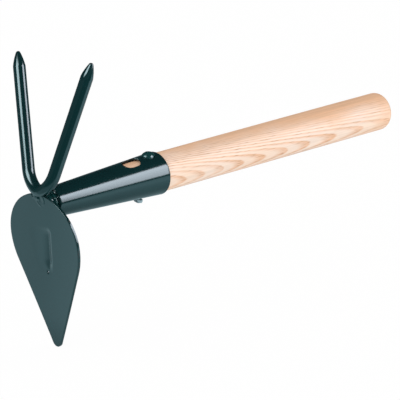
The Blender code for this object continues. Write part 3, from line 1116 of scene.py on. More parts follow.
@dataclass
class Bolt:
    """The cup-headed bolt through the socket and the grip, and its hexagon nut."""

    from_mouth: float = 0.0122
    roll: float = 10.0
    tilt: float = 12.0
    diameter: float = 0.0030
    pitch: float = 0.0005
    head_diameter: float = 0.0090
    head_skirt: float = 0.0009
    head_rim: tuple[tuple[float, float], ...] = ((0.00006, 0.00035), (0.00003, 0.00018), (0.0, 0.00004))
    head_crease: float = 24.0
    dome_angle: float = 60.0
    dome_start: float = 4.0
    dome_steps: int = 20
    thread_depth: float = 0.0003
    thread_fade: float = 0.0008
    thread_past_nut: float = 0.003
    thread_rings: int = 70
    shank_rings: tuple[float, float] = (0.0016, 0.0022)
    shank_end: tuple[float, float] = (0.72, 0.3)
    end_ring: float = 0.0002
    tail: float = 0.0006
    nut_flats: float = 0.0055
    nut_height: float = 0.0024
    nut_play: float = 0.00004
    nut_face: float = 0.97
    nut_slope: float = 30.0
    nut_crease: float = 25.0
    chamfer_steps: int = 6
    countersink: tuple[float, float] = (0.0004, 0.00035)
    clearance: float = 0.0003
    hole_reach: float = 0.025
    hole_segments: int = 32
    seating_steps: int = 12
    segments: int = 96

    def frame(self) -> Matrix:
        """The bolt's axis as local Z, from the tool's axis towards the head.

        Returns:
            The frame in the tool's own.
        """
        roll = Matrix.Rotation(math.radians(self.roll), 4, "X")
        tilt = Matrix.Rotation(math.radians(self.tilt), 4, "Y")
        return Matrix.Translation((MOUTH_X - self.from_mouth, 0.0, 0.0)) @ (roll @ tilt)

    def hole(self) -> BMesh:
        """The hole for the shank, right through the socket.

        Returns:
            The closed mesh to cut with.
        """
        radius = self.diameter / 2 + self.clearance
        profile = [(-self.hole_reach, radius), (self.hole_reach, radius)]
        return loft(turned(profile, self.hole_segments, self.frame()), Ends.CAPPED)

    def nut_seat(self, socket: Socket) -> float:
        """Distance along the axis at which the nut's corners clear the socket.

        Args:
            socket: The socket that the nut seats on.

        Returns:
            The distance from the tool's axis.
        """
        corner = self.nut_flats / math.sqrt(3)
        tilt = math.radians(self.tilt)
        outer = socket.radius(MOUTH_X - self.from_mouth + corner)
        return (outer + corner * math.sin(tilt)) / math.cos(tilt) + self.clearance

    def _seat_under(self, socket: Socket, reach: float, angle: float) -> float:
        """Height along the axis at which a point of the head's rim meets the socket.

        Args:
            socket: The socket that the head is bedded on.
            reach: The point's distance from the bolt's axis.
            angle: The point's angle round that axis, in radians.

        Returns:
            The height above the tool's axis.
        """
        height = socket.radius(MOUTH_X - self.from_mouth)
        for _ in range(self.seating_steps):
            point = self.frame() @ Vector((reach * math.cos(angle), reach * math.sin(angle), height))
            height -= math.hypot(point.y, point.z) - socket.radius(point.x)
        return height

    def build_bolt(self, socket: Socket, finishes: Finishes) -> None:
        """Makes the bolt: a domed head bedded on the socket, and a threaded shank.

        Args:
            socket: The socket that the head is bedded on.
            finishes: The built materials.
        """
        place = self.frame()
        seat = socket.radius(MOUTH_X - self.from_mouth)
        half = self.head_diameter / 2
        edge = math.radians(self.dome_angle)
        dome = half / math.sin(edge)
        angles = around(self.segments)
        settled = [self._seat_under(socket, half, angle) - seat for angle in angles]

        def ring(reach: float, height: float) -> Ring:
            """A ring whose rim side follows the round of the socket.

            Args:
                reach: The ring's radius.
                height: Its height over the head's seat.

            Returns:
                The ring's points.
            """
            share = (reach / half) ** 2
            return [
                place @ Vector((reach * math.cos(a), reach * math.sin(a), seat + height + drop * share))
                for a, drop in zip(angles, settled)
            ]

        rings = []
        for angle in sweep(self.dome_start, self.dome_angle, self.dome_steps):
            height = self.head_skirt + dome * (math.cos(angle) - math.cos(edge))
            rings.append(ring(dome * math.sin(angle), height))
        for flare, lift in self.head_rim:
            rings.append(ring(half + flare, lift))
        rings += self._shank_rings(place, seat, -self.nut_seat(socket) - self.nut_height - self.tail)
        bolt = as_object("cup_head_bolt", loft(rings, Ends.CAPPED), crease=self.head_crease)
        set_wear(bolt, lambda point: 0.0)
        dress(bolt, finishes.painted_light_enamel, Slot.ENAMEL, "clamp_bolt")

    def _shank_rings(self, place: Matrix, start: float, end: float) -> list[Ring]:
        """Rings down the shank, with a helical thread over its last stretch.

        Args:
            place: The bolt's frame.
            start: Height of the head's seat.
            end: Height of the shank's end.

        Returns:
            The rings, from the head down.
        """
        radius = self.diameter / 2
        threaded = self.nut_height + self.thread_past_nut
        heights = [start - drop for drop in self.shank_rings]
        heights += spread(end + threaded, end + self.end_ring, self.thread_rings)
        rings = []
        for height in heights:
            ring = []
            for i in range(self.segments):
                share = i / self.segments
                turn = (height / self.pitch + share) % 1.0
                cutting = smooth((end + threaded - height) / self.thread_fade)
                groove = self.thread_depth * cutting * abs(2 * turn - 1)
                reach = radius - groove
                angle = math.tau * share
                ring.append(place @ Vector((reach * math.cos(angle), reach * math.sin(angle), height)))
            rings.append(ring)
        rings += turned([(end, radius * share) for share in self.shank_end], self.segments, place)
        return rings

    def build_nut(self, socket: Socket, finishes: Finishes) -> None:
        """Makes the nut: a hexagon whose corners are turned off at both faces.

        Args:
            socket: The socket that the nut seats on.
            finishes: The built materials.
        """
        place = self.frame()
        seat = self.nut_seat(socket)
        flat = self.nut_flats / 2
        corner = flat / math.cos(math.pi / 6)
        bore = self.diameter / 2 + self.nut_play
        slope = math.tan(math.radians(self.nut_slope))

        def ring(depth: float, limit: float) -> Ring:
            """The hexagon's outline at a depth, held inside a round limit.

            Args:
                depth: Distance from the face at the socket.
                limit: The round's radius.

            Returns:
                The ring's points.
            """
            made = []
            for angle in around(self.segments):
                turned_by = (angle + math.pi / 6) % (math.pi / 3) - math.pi / 6
                reach = min(flat / math.cos(turned_by), limit)
                made.append(
                    place @ Vector((reach * math.cos(angle), reach * math.sin(angle), -seat - depth)),
                )
            return made

        washer = flat * self.nut_face
        chamfer = (corner - washer) * slope
        rings = []
        for share in spread(0, 1, self.chamfer_steps):
            rings.append(ring(chamfer * share, washer + (corner - washer) * share))
        for share in spread(1, 0, self.chamfer_steps):
            rings.append(ring(self.nut_height - chamfer * share, washer + (corner - washer) * share))
        sink, flare = self.countersink
        mouth = [
            (self.nut_height, bore + flare),
            (self.nut_height - sink, bore),
            (sink, bore),
            (0.0, bore + flare),
        ]
        rings += turned([(-seat - depth, reach) for depth, reach in mouth], self.segments, place)
        nut = as_object("hexagon_nut", loft(rings, Ends.JOINED), crease=self.nut_crease)
        dress(nut, finishes.zinc, Slot.ZINC, "nut")


@dataclass
class Blade:
    """The pointed oval blade, cut from sheet and slightly bowed, with a pressed groove and a small hole."""

    width: float = 0.0724
    thickness: float = 0.0020
    top_rise: float = 0.0082
    shoulder: float = 0.0333
    side_radius: float = 0.0409
    point_angle: float = 26.4
    tip_radius: float = 0.0046
    bow: float = 0.0006
    setback: float = 0.0109
    lean: float = 3.4
    edge: float = 0.0003
    groove_from_top: float = 0.0225
    groove_length: float = 0.0360
    groove_depth: float = 0.0015
    steep_edge: tuple[float, float] = (0.0102, 0.0060)
    soft_edge: tuple[float, float] = (0.0175, 0.0105)
    steep_flank: float = 0.0048
    foot_flank: float = 0.0120
    hole_diameter: float = 0.0018
    hole_from_top: float = 0.0556
    hole_flare: float = 2.2
    hole_past: float = 0.001
    hole_edge: float = 0.0003
    hole_segments: int = 32
    worn_from: float = 0.0009
    worn_band: float = 0.0008
    outline_step: int = 3
    tip_start: float = -82.0
    top_end: float = 86.0
    tip_steps: int = 9
    point_steps: int = 44
    side_steps: int = 22
    top_steps: int = 40
    edge_steps: int = 5
    groove_steps: int = 24
    groove_margin: float = 1.1
    narrow_from: float = 1.4
    left_steps: int = 12
    right_steps: int = 10

    def front(self, z: float) -> float:
        """x of the front face at height z.

        Args:
            z: The height.

        Returns:
            The place along the tool.
        """
        tilt = math.radians(self.lean)
        bowed = self.bow_at((self.top_rise - z) / math.cos(tilt)) / math.cos(tilt)
        return NOSE_X - self.setback - z * math.tan(tilt) + bowed

    def rear(self, z: float) -> float:
        """x of the rear face at height z."""
        return self.front(z) + self.thickness / math.cos(math.radians(self.lean))

    def place(self, depth: float, y: float, back: float) -> Vector:
        """A point of the sheet.

        Args:
            depth: Distance down the sheet from its top.
            y: Distance to the side.
            back: Distance behind the front face.

        Returns:
            The point in the tool's frame.
        """
        tilt = math.radians(self.lean)
        down = Vector((math.sin(tilt), 0.0, -math.cos(tilt)))
        rearward = Vector((math.cos(tilt), 0.0, math.sin(tilt)))
        top = Vector((self.front(self.top_rise), y, self.top_rise))
        return top + down * depth + rearward * (back + self.bow_at(depth))

    def side_end(self) -> tuple[float, float]:
        """(depth, half width) where the round side ends and the point starts.

        Returns:
            The depth and the half width there.
        """
        point = math.radians(self.point_angle)
        half = self.width / 2 - self.side_radius * (1 - math.cos(point))
        return self.shoulder + self.side_radius * math.sin(point), half

    def tip_centre(self) -> float:
        """Depth of the centre of the round on the point.

        Returns:
            The depth.
        """
        point = math.radians(self.point_angle)
        depth, half = self.side_end()
        return depth + half / math.tan(point) - self.tip_radius / math.sin(point)

    def bow_at(self, depth: float) -> float:
        """How far the sheet bows to the rear at a depth."""
        share = min(max(depth / (self.tip_centre() + self.tip_radius), 0.0), 1.0)
        return self.bow * 4 * share * (1 - share)

    def half_outline(self) -> list[tuple[float, float, float]]:
        """(depth, half width, outward angle) from the tip up to the top.

        Returns:
            The outline's points, with angles in radians.
        """
        point = math.radians(self.point_angle)
        half = self.width / 2
        side_depth, side_end = self.side_end()
        centre = self.tip_centre()
        rows = []
        for angle in sweep(self.tip_start, -self.point_angle, self.tip_steps):
            depth = centre - self.tip_radius * math.sin(angle)
            rows.append((depth, self.tip_radius * math.cos(angle), angle))
        start, start_half, _ = rows[-1]
        for share in spread(0, 1, self.point_steps)[1:]:
            depth = start + (side_depth - start) * share
            rows.append((depth, start_half + (side_end - start_half) * share, -point))
        for angle in sweep(-self.point_angle, 0, self.side_steps)[1:]:
            depth = self.shoulder - self.side_radius * math.sin(angle)
            rows.append((depth, half - self.side_radius * (1 - math.cos(angle)), angle))
        for angle in sweep(0, self.top_end, self.top_steps)[1:]:
            depth, reach = self.shoulder * (1 - math.sin(angle)), half * math.cos(angle)
            outward = math.atan2(math.sin(angle) / self.shoulder, math.cos(angle) / half)
            rows.append((depth, reach, outward))
        return rows

    def sink(self, depth: float, y: float) -> float:
        """How deep the pressed groove is: steep at its top and -Y side, and soft at its +Y side.

        Args:
            depth: Distance down the sheet from its top.
            y: Distance to the side.

        Returns:
            The depth of the groove there.
        """
        share = min(max((depth - self.groove_from_top) / self.groove_length, 0.0), 1.0)
        steep = self.steep_edge[0] + (self.steep_edge[1] - self.steep_edge[0]) * share
        soft = self.soft_edge[0] + (self.soft_edge[1] - self.soft_edge[0]) * share
        aside = max(self.steep_flank - (y + steep), 0.0)
        above = max(self.steep_flank - (depth - self.groove_from_top), 0.0)
        flank = creased(1 - math.hypot(aside, above) / self.steep_flank)
        slope = min(max((soft - y) / (soft + steep - self.steep_flank), 0.0), 1.0)
        from_foot = smooth((self.groove_from_top + self.groove_length - depth) / self.foot_flank)
        return self.groove_depth * flank * slope * slope * from_foot

    def _faces(self, bm: BMesh) -> tuple[list, list, list]:
        """The front and rear grids inside the rounded edge.

        Args:
            bm: The mesh.

        Returns:
            The front border, the rear border, and each border point's (depth, y, outward angle).
        """
        steep_side = spread(0.0, -self.groove_margin * self.steep_edge[0], self.groove_steps)[:0:-1]
        soft_side = spread(0.0, self.groove_margin * self.soft_edge[0], self.groove_steps)
        borders = []
        rows = []
        for depth, half, angle in self.half_outline():
            inset = (depth + self.edge * math.sin(angle), half - self.edge * math.cos(angle))
            rows.append((*inset, angle))
        for back in (0.0, self.thickness):
            grid = []
            for depth, half, _ in rows:
                scale = min(half / (self.narrow_from * self.soft_edge[0]), 1.0)
                middle = [y * scale for y in steep_side + soft_side]
                low, high = middle[0], middle[-1]
                left = [-half + (low + half) * share for share in spread(0, 1, self.left_steps)[:-1]]
                right = [high + (half - high) * share for share in spread(0, 1, self.right_steps)[1:]]
                columns = left + middle + right
                sunk = [self.place(depth, y, back + self.sink(depth, y)) for y in columns]
                grid.append([bm.verts.new(point) for point in sunk])
            borders.append(fill_grid(bm, grid))
        down, up = -math.pi / 2, math.pi / 2
        first, last = rows[0], rows[-1]
        rims = [(first[0], vertex.co.y, down) for vertex in grid[0][:-1]]
        rims += [(depth, half, angle) for depth, half, angle in rows[:-1]]
        rims += [(last[0], vertex.co.y, up) for vertex in grid[-1][:0:-1]]
        rims += [(depth, -half, math.pi - angle) for depth, half, angle in rows[:0:-1]]
        return borders[0], borders[1], rims

    def build(self, finishes: Finishes) -> None:
        """Makes the blade.

        Args:
            finishes: The built materials.
        """
        bm = bmesh.new()
        front, rear, rims = self._faces(bm)
        turn = sweep(0, 90, self.edge_steps)
        edge = self.edge
        section = [(edge * math.sin(angle), edge * (1 - math.cos(angle))) for angle in turn[1:]]
        section += [
            (edge * math.cos(angle), self.thickness - edge * (1 - math.sin(angle)))
            for angle in turn[:-1]
        ]
        rings = [front]
        for out, back in section:
            ring = []
            for depth, y, angle in rims:
                point = self.place(depth - out * math.sin(angle), y + out * math.cos(angle), back)
                ring.append(bm.verts.new(point))
            rings.append(ring)
        rings.append(rear)
        bridge_all(bm, rings)
        blade = as_object("hoe_blade", bm)
        cut(blade, self._hole())
        outline = [self.place(depth, y, self.thickness / 2) for depth, y, _ in rims[:: self.outline_step]]

        def thin(point: Vector) -> float:
            """The coat is thin along the cut edge."""
            away = min(math.hypot(point.y - near.y, point.z - near.z) for near in outline)
            return 1 - smooth((away - self.worn_from) / self.worn_band)

        set_wear(blade, thin)
        dress(blade, finishes.enamel, Slot.ENAMEL, "blade")

    def _hole(self) -> BMesh:
        """A small punched hole near the groove's foot, with its edges broken.

        Returns:
            The closed mesh to cut with.
        """
        depth = self.hole_from_top
        radius = self.hole_diameter / 2
        middle = self.place(depth, 0.0, self.thickness / 2 + self.sink(depth, 0.0))
        place = Matrix.Translation(middle) @ Matrix.Rotation(math.radians(90 - self.lean), 4, "Y")
        outside = self.thickness / 2 + self.hole_past
        inside = self.thickness / 2 - self.hole_edge
        flare = radius * self.hole_flare
        profile = [(-outside, flare), (-inside, radius), (inside, radius), (outside, flare)]
        return loft(turned(profile, self.hole_segments, place), Ends.CAPPED)


@dataclass
class ProngBar:
    """The round bar bent to a V, with its two ends drawn to points."""

    diameter: float = 0.00866
    bend_radius: float = 0.0070
    bend_half_angle: float = 26.0
    shoulder_radius: float = 0.0217
    length: float = 0.0812
    spread_angle: float = 18.07
    lean: float = 13.76
    setback: float = 0.0092
    rise: float = 0.0098
    point_length: float = 0.0106
    tip_radius: float = 0.0017
    bulge: float = 0.0003
    flattening: float = 0.03
    wave: float = 0.00002
    wave_mm: float = 9.0
    worn_reach: float = 0.0022
    worn_most: float = 0.9
    bend_steps: int = 64
    tip_shares: tuple[float, ...] = (0.002, 0.008, 0.02, 0.04, 0.07, 0.1, 0.14, 0.2, 0.3)
    point_span: tuple[float, float] = (0.4, 0.96)
    point_steps: int = 10
    neck_shares: tuple[float, float] = (0.99, 1.02)
    straight_span: tuple[float, float] = (1.1, 0.001)
    straight_steps: int = 30
    segments: int = 72

    def radius_at(self, distance: float) -> float:
        """The prong's radius at a distance from its tip.

        Args:
            distance: Distance from the tip.

        Returns:
            The radius.
        """
        full = self.diameter / 2
        if distance >= self.point_length:
            return full
        slope = math.atan((full - self.tip_radius) / (self.point_length - self.tip_radius))
        ball_end = self.tip_radius * (1 - math.sin(slope))
        if distance <= ball_end:
            return math.sqrt(distance * (2 * self.tip_radius - distance))
        start = self.tip_radius * math.cos(slope)
        share = (distance - ball_end) / (self.point_length - ball_end)
        return start + (full - start) * share + self.bulge * 4 * share * (1 - share)

    def underside(self, y: float) -> float:
        """Height of the bend's lower side over a point at y.

        Args:
            y: Distance to the side.

        Returns:
            The height.
        """
        limit = math.radians(self.bend_half_angle)
        reach = self.bend_radius + self.diameter / 2
        centre, height = 0.0, self.rise + self.bend_radius
        if abs(y) > reach * math.sin(limit):
            wider = self.shoulder_radius - self.bend_radius
            centre, height = -wider * math.sin(limit), height + wider * math.cos(limit)
            reach += wider
        return height - math.sqrt(max(reach * reach - (abs(y) - centre) ** 2, 0.0))

    def stations(self) -> list[tuple[Vector, Vector, float, float]]:
        """Centres, outward directions, radii and flattening of the sections, from tip to tip.

        Returns:
            The sections in order.
        """
        lean, turn = math.radians(self.lean), math.radians(self.spread_angle)
        up = Vector((math.sin(lean), 0.0, math.cos(lean)))
        side = Vector((0.0, 1.0, 0.0))
        bottom = Vector((NOSE_X - self.setback, 0.0, self.rise))
        limit = math.radians(self.bend_half_angle)
        bend = []
        for angle in sweep(-90 + self.spread_angle, 90 - self.spread_angle, self.bend_steps):
            outward = side * math.sin(angle) - up * math.cos(angle)
            tight = min(max(angle, -limit), limit)
            tight_outward = side * math.sin(tight) - up * math.cos(tight)
            centre = bottom + (up + tight_outward) * self.bend_radius
            centre += (outward - tight_outward) * self.shoulder_radius
            squash = self.flattening * math.cos(angle)
            bend.append((centre, outward, self.diameter / 2, squash))
        shares = [*self.tip_shares, *spread(*self.point_span, self.point_steps), *self.neck_shares]
        distances = [self.point_length * share for share in shares]
        past_point, before_bend = self.straight_span
        distances += spread(self.point_length * past_point, self.length - before_bend, self.straight_steps)
        prongs = []
        for start, sign in ((bend[0], -1), (bend[-1], 1)):
            along = up * math.cos(turn) + side * sign * math.sin(turn)
            tip = start[0] + along * self.length
            prongs.append([(tip - along * d, start[1], self.radius_at(d), start[3]) for d in distances])
        return prongs[0] + bend + prongs[1][::-1]

    def build(self, finishes: Finishes) -> None:
        """Makes the bar.

        Args:
            finishes: The built materials.
        """
        lean = math.radians(self.lean)
        normal = Vector((math.cos(lean), 0.0, -math.sin(lean)))
        rings = []
        for centre, outward, radius, squash in self.stations():
            ring = []
            for angle in around(self.segments):
                flat = outward * math.cos(angle) * (1 - squash)
                way = flat + normal * math.sin(angle) * (1 + squash / 2)
                point = centre + way * radius
                ring.append(point + way * self.wave * ripple(point, self.wave_mm))
            rings.append(ring)
        bar = as_object("prong_fork", loft(rings, Ends.CAPPED))
        tips = (rings[0][0].copy(), rings[-1][0].copy())

        def thin(point: Vector) -> float:
            """The coat is thin on the two points."""
            away = min((point - tip).length for tip in tips)
            return self.worn_most * (1 - smooth(away / self.worn_reach))

        set_wear(bar, thin)
        dress(bar, finishes.enamel, Slot.ENAMEL, "prong_bar")


@dataclass
class Neck:
    """The turned neck between the socket and the blade, with a bead of weld at each end."""

    radius: float = 0.0072
    plug_length: float = 0.0120
    plug_chamfer: float = 0.0003
    plug_start: tuple[float, float] = (0.0002, 0.0005)
    clearance: float = 0.0003
    seat: float = 0.0001
    bead_height: float = 0.0018
    bead_share: float = 0.92
    bead_steps: int = 14
    bead_crease: float = 70.0
    front_width: float = 0.0032
    rear_width: float = 0.0026
    ripples: int = 13
    ripple_share: float = 0.003
    swell_share: float = 0.010
    swell_waves: float = 2.2
    swell_seed: float = 900.0
    neck_steps: int = 5
    segments: int = 144

    def _ring(self, centre: Callable[[float], float], reach: Callable[[float], float]) -> Ring:
        """A ring whose x may follow the leaning blade and whose radius may vary round it.

        Args:
            centre: Gives x at a height.
            reach: Gives the radius at an angle in radians.

        Returns:
            The ring's points.
        """
        made = []
        for angle in around(self.segments):
            radius = reach(angle)
            y, z = radius * math.cos(angle), radius * math.sin(angle)
            made.append(Vector((centre(z), y, z)))
        return made

    def build_neck(self, blade: Blade, socket: Socket, finishes: Finishes) -> None:
        """Makes the neck and its plug.

        Args:
            blade: The blade at the neck's front end.
            socket: The socket that takes the plug.
            finishes: The built materials.
        """
        plug = socket.nose_bore - self.clearance
        rings = [self._ring(lambda z: blade.rear(z) + self.seat, lambda angle: self.radius)]
        for share in spread(0, 1, self.neck_steps)[1:]:
            rings.append(
                self._ring(
                    lambda z: blade.rear(z) * (1 - share) + NOSE_X * share,
                    lambda angle: self.radius,
                ),
            )
        start, full = self.plug_start
        for along, reach in ((start, plug - self.plug_chamfer), (full, plug), (self.plug_length, plug)):
            rings.append(self._ring(lambda z: NOSE_X + along, lambda angle: reach))
        neck = as_object("turned_neck", loft(rings, Ends.CAPPED))
        set_wear(neck, lambda point: 0.0)
        dress(neck, finishes.painted_light_enamel, Slot.ENAMEL, "neck")

    def build_bead(self, place: BeadPlace, blade: Blade, finishes: Finishes) -> None:
        """Makes one rippled bead of weld metal.

        Args:
            place: Which bead it is.
            blade: The blade that the front bead follows.
            finishes: The built materials.
        """
        at_blade = place is BeadPlace.BLADE
        width = self.front_width if at_blade else self.rear_width
        inner = self.radius - self.seat

        def middle(z: float) -> float:
            """x of the bead's middle at height z.

            Args:
                z: The height.

            Returns:
                The place along the tool.
            """
            if at_blade:
                return blade.rear(z) + width / 2 + self.seat
            return NOSE_X - width / 2 - self.seat

        rings = []
        for section in sweep(180, 0, self.bead_steps):
            along, out = width / 2 * math.cos(section), self.bead_height * math.sin(section)

            def reach(angle: float) -> float:
                """The bead's radius round the neck, with the ridges that each drop of metal leaves.

                Args:
                    angle: The angle round the neck, in radians.

                Returns:
                    The radius.
                """
                drop = abs(math.sin(self.ripples * angle / 2 + along / width))
                spot = Vector((math.cos(angle), math.sin(angle), width * self.swell_seed))
                swell = noise.noise(spot * self.swell_waves)
                return inner + out * (self.bead_share + self.ripple_share * drop + self.swell_share * swell)

            rings.append(self._ring(lambda z: middle(z) + along, reach))
        bead = as_object(place.value, loft(rings, Ends.JOINED), crease=self.bead_crease)
        set_wear(bead, lambda point: 0.0)
        node = "weld_bead_front" if at_blade else "weld_bead_rear"
        dress(bead, finishes.painted_light_enamel, Slot.ENAMEL, node)


@dataclass
class CornerWeld:
    """The weld under the bend: a run in the corner, a drip, and a low round boss with a dimple."""

    half_width: float = 0.0125
    bottom: float = -0.0035
    run_height: float = 0.0013
    run_reach: float = 0.0013
    run_from: float = -0.0035
    run_to: float = 0.0085
    run_fade: float = 0.0030
    lumps: float = 0.35
    lump_mm: float = 2.4
    boss_y: float = -0.0034
    boss_z: float = 0.0044
    boss_radius: float = 0.0040
    boss_height: float = 0.00035
    boss_border: tuple[float, float] = (1.12, 0.30)
    dimple: float = 0.00025
    dimple_share: float = 0.75
    drip: tuple[tuple[float, float], ...] = (
        (0.0013, 0.0071),
        (0.0011, 0.0032),
        (-0.0004, 0.0017),
        (-0.0022, 0.0006),
    )
    drip_width: float = 0.0010
    drip_height: float = 0.0005
    drip_in_run: float = 0.35
    step: float = 0.00028
    sunk: float = 0.00012
    back: float = 0.00036
    behind_bar: float = 0.1
    inside_edge: float = 1.5
    crease: float = 80.0

    def _top(self, y: float, blade: Blade, bar: ProngBar) -> float:
        """Height of the patch's upper border at y: behind the bar and inside the blade's outline.

        Args:
            y: Distance to the side.
            blade: The blade that it lies on.
            bar: The bar that it lies under.

        Returns:
            The height.
        """
        share = min(abs(y) / (blade.width / 2), 1.0)
        outline = blade.top_rise - blade.shoulder * (1 - math.sqrt(1 - share * share))
        return min(bar.rise - bar.diameter * self.behind_bar, outline - self.inside_edge * blade.edge)

    def height(self, y: float, z: float, bar: ProngBar) -> float:
        """How far the metal stands out of the blade's face.

        Args:
            y: Distance to the side.
            z: The height on the head.
            bar: The bar that it lies under.

        Returns:
            The metal's thickness.
        """
        under = max(bar.underside(y) - z, 0.0)
        inside = smooth((y - self.run_from) / self.run_fade) * smooth((self.run_to - y) / self.run_fade)
        lumps = 1 + self.lumps * ripple(Vector((y, z, 0.0)), self.lump_mm)
        run = self.run_height * lumps * inside * math.exp(-((under / self.run_reach) ** 2))
        away = math.hypot(y - self.boss_y, z - self.boss_z) / self.boss_radius
        border, fade = self.boss_border
        boss = self.boss_height * smooth((border - away) / fade)
        boss -= self.dimple * (1 - smooth(away / self.dimple_share))
        nearest = 1.0
        for (y0, z0), (y1, z1) in zip(self.drip, self.drip[1:]):
            along = Vector((y1 - y0, z1 - z0))
            share = min(max(Vector((y - y0, z - z0)).dot(along) / along.length_squared, 0.0), 1.0)
            nearest = min(nearest, math.hypot(y - y0 - along.x * share, z - z0 - along.y * share))
        drip = self.drip_height * math.exp(-((nearest / self.drip_width) ** 2))
        return max(run, boss, drip) + self.drip_in_run * min(run, drip)

    def build(self, blade: Blade, bar: ProngBar, finishes: Finishes) -> None:
        """Makes the weld as one closed lump whose thin border lies just under the blade's face.

        Args:
            blade: The blade that it lies on.
            bar: The bar that it lies under.
            finishes: The built materials.
        """
        columns = spread(-self.half_width, self.half_width, round(2 * self.half_width / self.step))
        rows = round((bar.rise - self.bottom) / self.step)
        bm = bmesh.new()
        borders = []
        for is_front in (True, False):
            grid = []
            for share in spread(0, 1, rows):
                row = []
                for y in columns:
                    z = self.bottom + (self._top(y, blade, bar) - self.bottom) * share
                    out = self.height(y, z, bar) - self.sunk if is_front else -self.back
                    row.append(bm.verts.new((blade.front(z) - out, y, z)))
                grid.append(row)
            borders.append(fill_grid(bm, grid))
        bridge(bm, *borders)
        weld = as_object("corner_weld", bm, crease=self.crease)
        set_wear(weld, lambda point: 0.0)
        dress(weld, finishes.enamel, Slot.ENAMEL, "weld_fillet")


def only_in_gloss(obj: Object, material: Material) -> None:
    """Makes something that only reflections show.

    Args:
        obj: The glowing thing.
        material: Its glow.
    """
    obj.data.materials.append(material)
    obj.visible_camera = False
    obj.visible_diffuse = False
    obj.visible_transmission = False
    obj.visible_shadow = False


@dataclass(frozen=True)
class Softbox:
    """A rectangular lamp that faces its aim. Its borders can fade, and its foot can be dimmer."""

    name: str
    use: LightUse
    position: tuple[float, float, float]
    width: float
    height: float
    radiance: float
    colour: str = "#FFFFFF"
    aim: tuple[float, float, float] = (-0.30, 0.0, 0.0)
    side_fade: float = 0.0
    head_fade: float = 0.0
    foot_fade: float = 0.0
    foot_level: float = 1.0
    full_from: float = 0.5

    def _place(self) -> Matrix:
        """The box's frame: it faces its aim with local -Z, and local Y is up."""
        toward = Vector(self.aim) - Vector(self.position)
        return Matrix.Translation(self.position) @ toward.to_track_quat("-Z", "Y").to_matrix().to_4x4()

    def build(self) -> None:
        """Makes the box as a lamp that lights the object, or as a glowing face that only its gloss shows."""
        if self.use is LightUse.REFLECTION:
            self._build_face()
            return
        lamp = bpy.data.lights.new(self.name, "AREA")
        lamp.shape = "RECTANGLE"
        lamp.size = self.width
        lamp.size_y = self.height
        lamp.energy = self.radiance * math.pi * self.width * self.height
        lamp.color = linear(self.colour)[:3]
        holder = bpy.data.objects.new(self.name, lamp)
        bpy.context.scene.collection.objects.link(holder)
        holder.matrix_world = self._place()
        holder.visible_camera = False
        holder.visible_glossy = False

    def _build_face(self) -> None:
        """Makes the glowing cloth of a box, which grows dim towards its borders."""
        made, tree, shader = new_material(self.name + "_cloth")
        place = add_node(tree, "ShaderNodeTexCoord").outputs["Object"]
        across, upward, _ = add_node(tree, "ShaderNodeSeparateXYZ", [place]).outputs
        half_width, half_height = self.width / 2, self.height / 2
        rise = add_node(
            tree,
            "ShaderNodeMapRange",
            [upward, -half_height, half_height * self.full_from, self.foot_level, 1.0],
        )
        level = add_node(tree, "ShaderNodeMath", [rise, self.radiance], operation="MULTIPLY")
        borders = (
            (across, half_width, self.side_fade),
            (across, -half_width, self.side_fade),
            (upward, half_height, self.head_fade),
            (upward, -half_height, self.foot_fade),
        )
        for along, border, fade in borders:
            inner = border - math.copysign(fade, border)
            kept = add_node(
                tree,
                "ShaderNodeMapRange",
                [along, inner, border, 1.0, 0.0],
                interpolation_type="SMOOTHSTEP",
            )
            level = add_node(tree, "ShaderNodeMath", [level, kept], operation="MULTIPLY")
        glow = add_node(tree, "ShaderNodeEmission", {"Color": linear(self.colour), "Strength": level})
        tree.links.new(glow.outputs[0], tree.nodes["Material Output"].inputs[0])
        tree.nodes.remove(shader)
        face = rectangle(self.name, half_width, half_height)
        face.matrix_world = self._place()
        only_in_gloss(face, made)


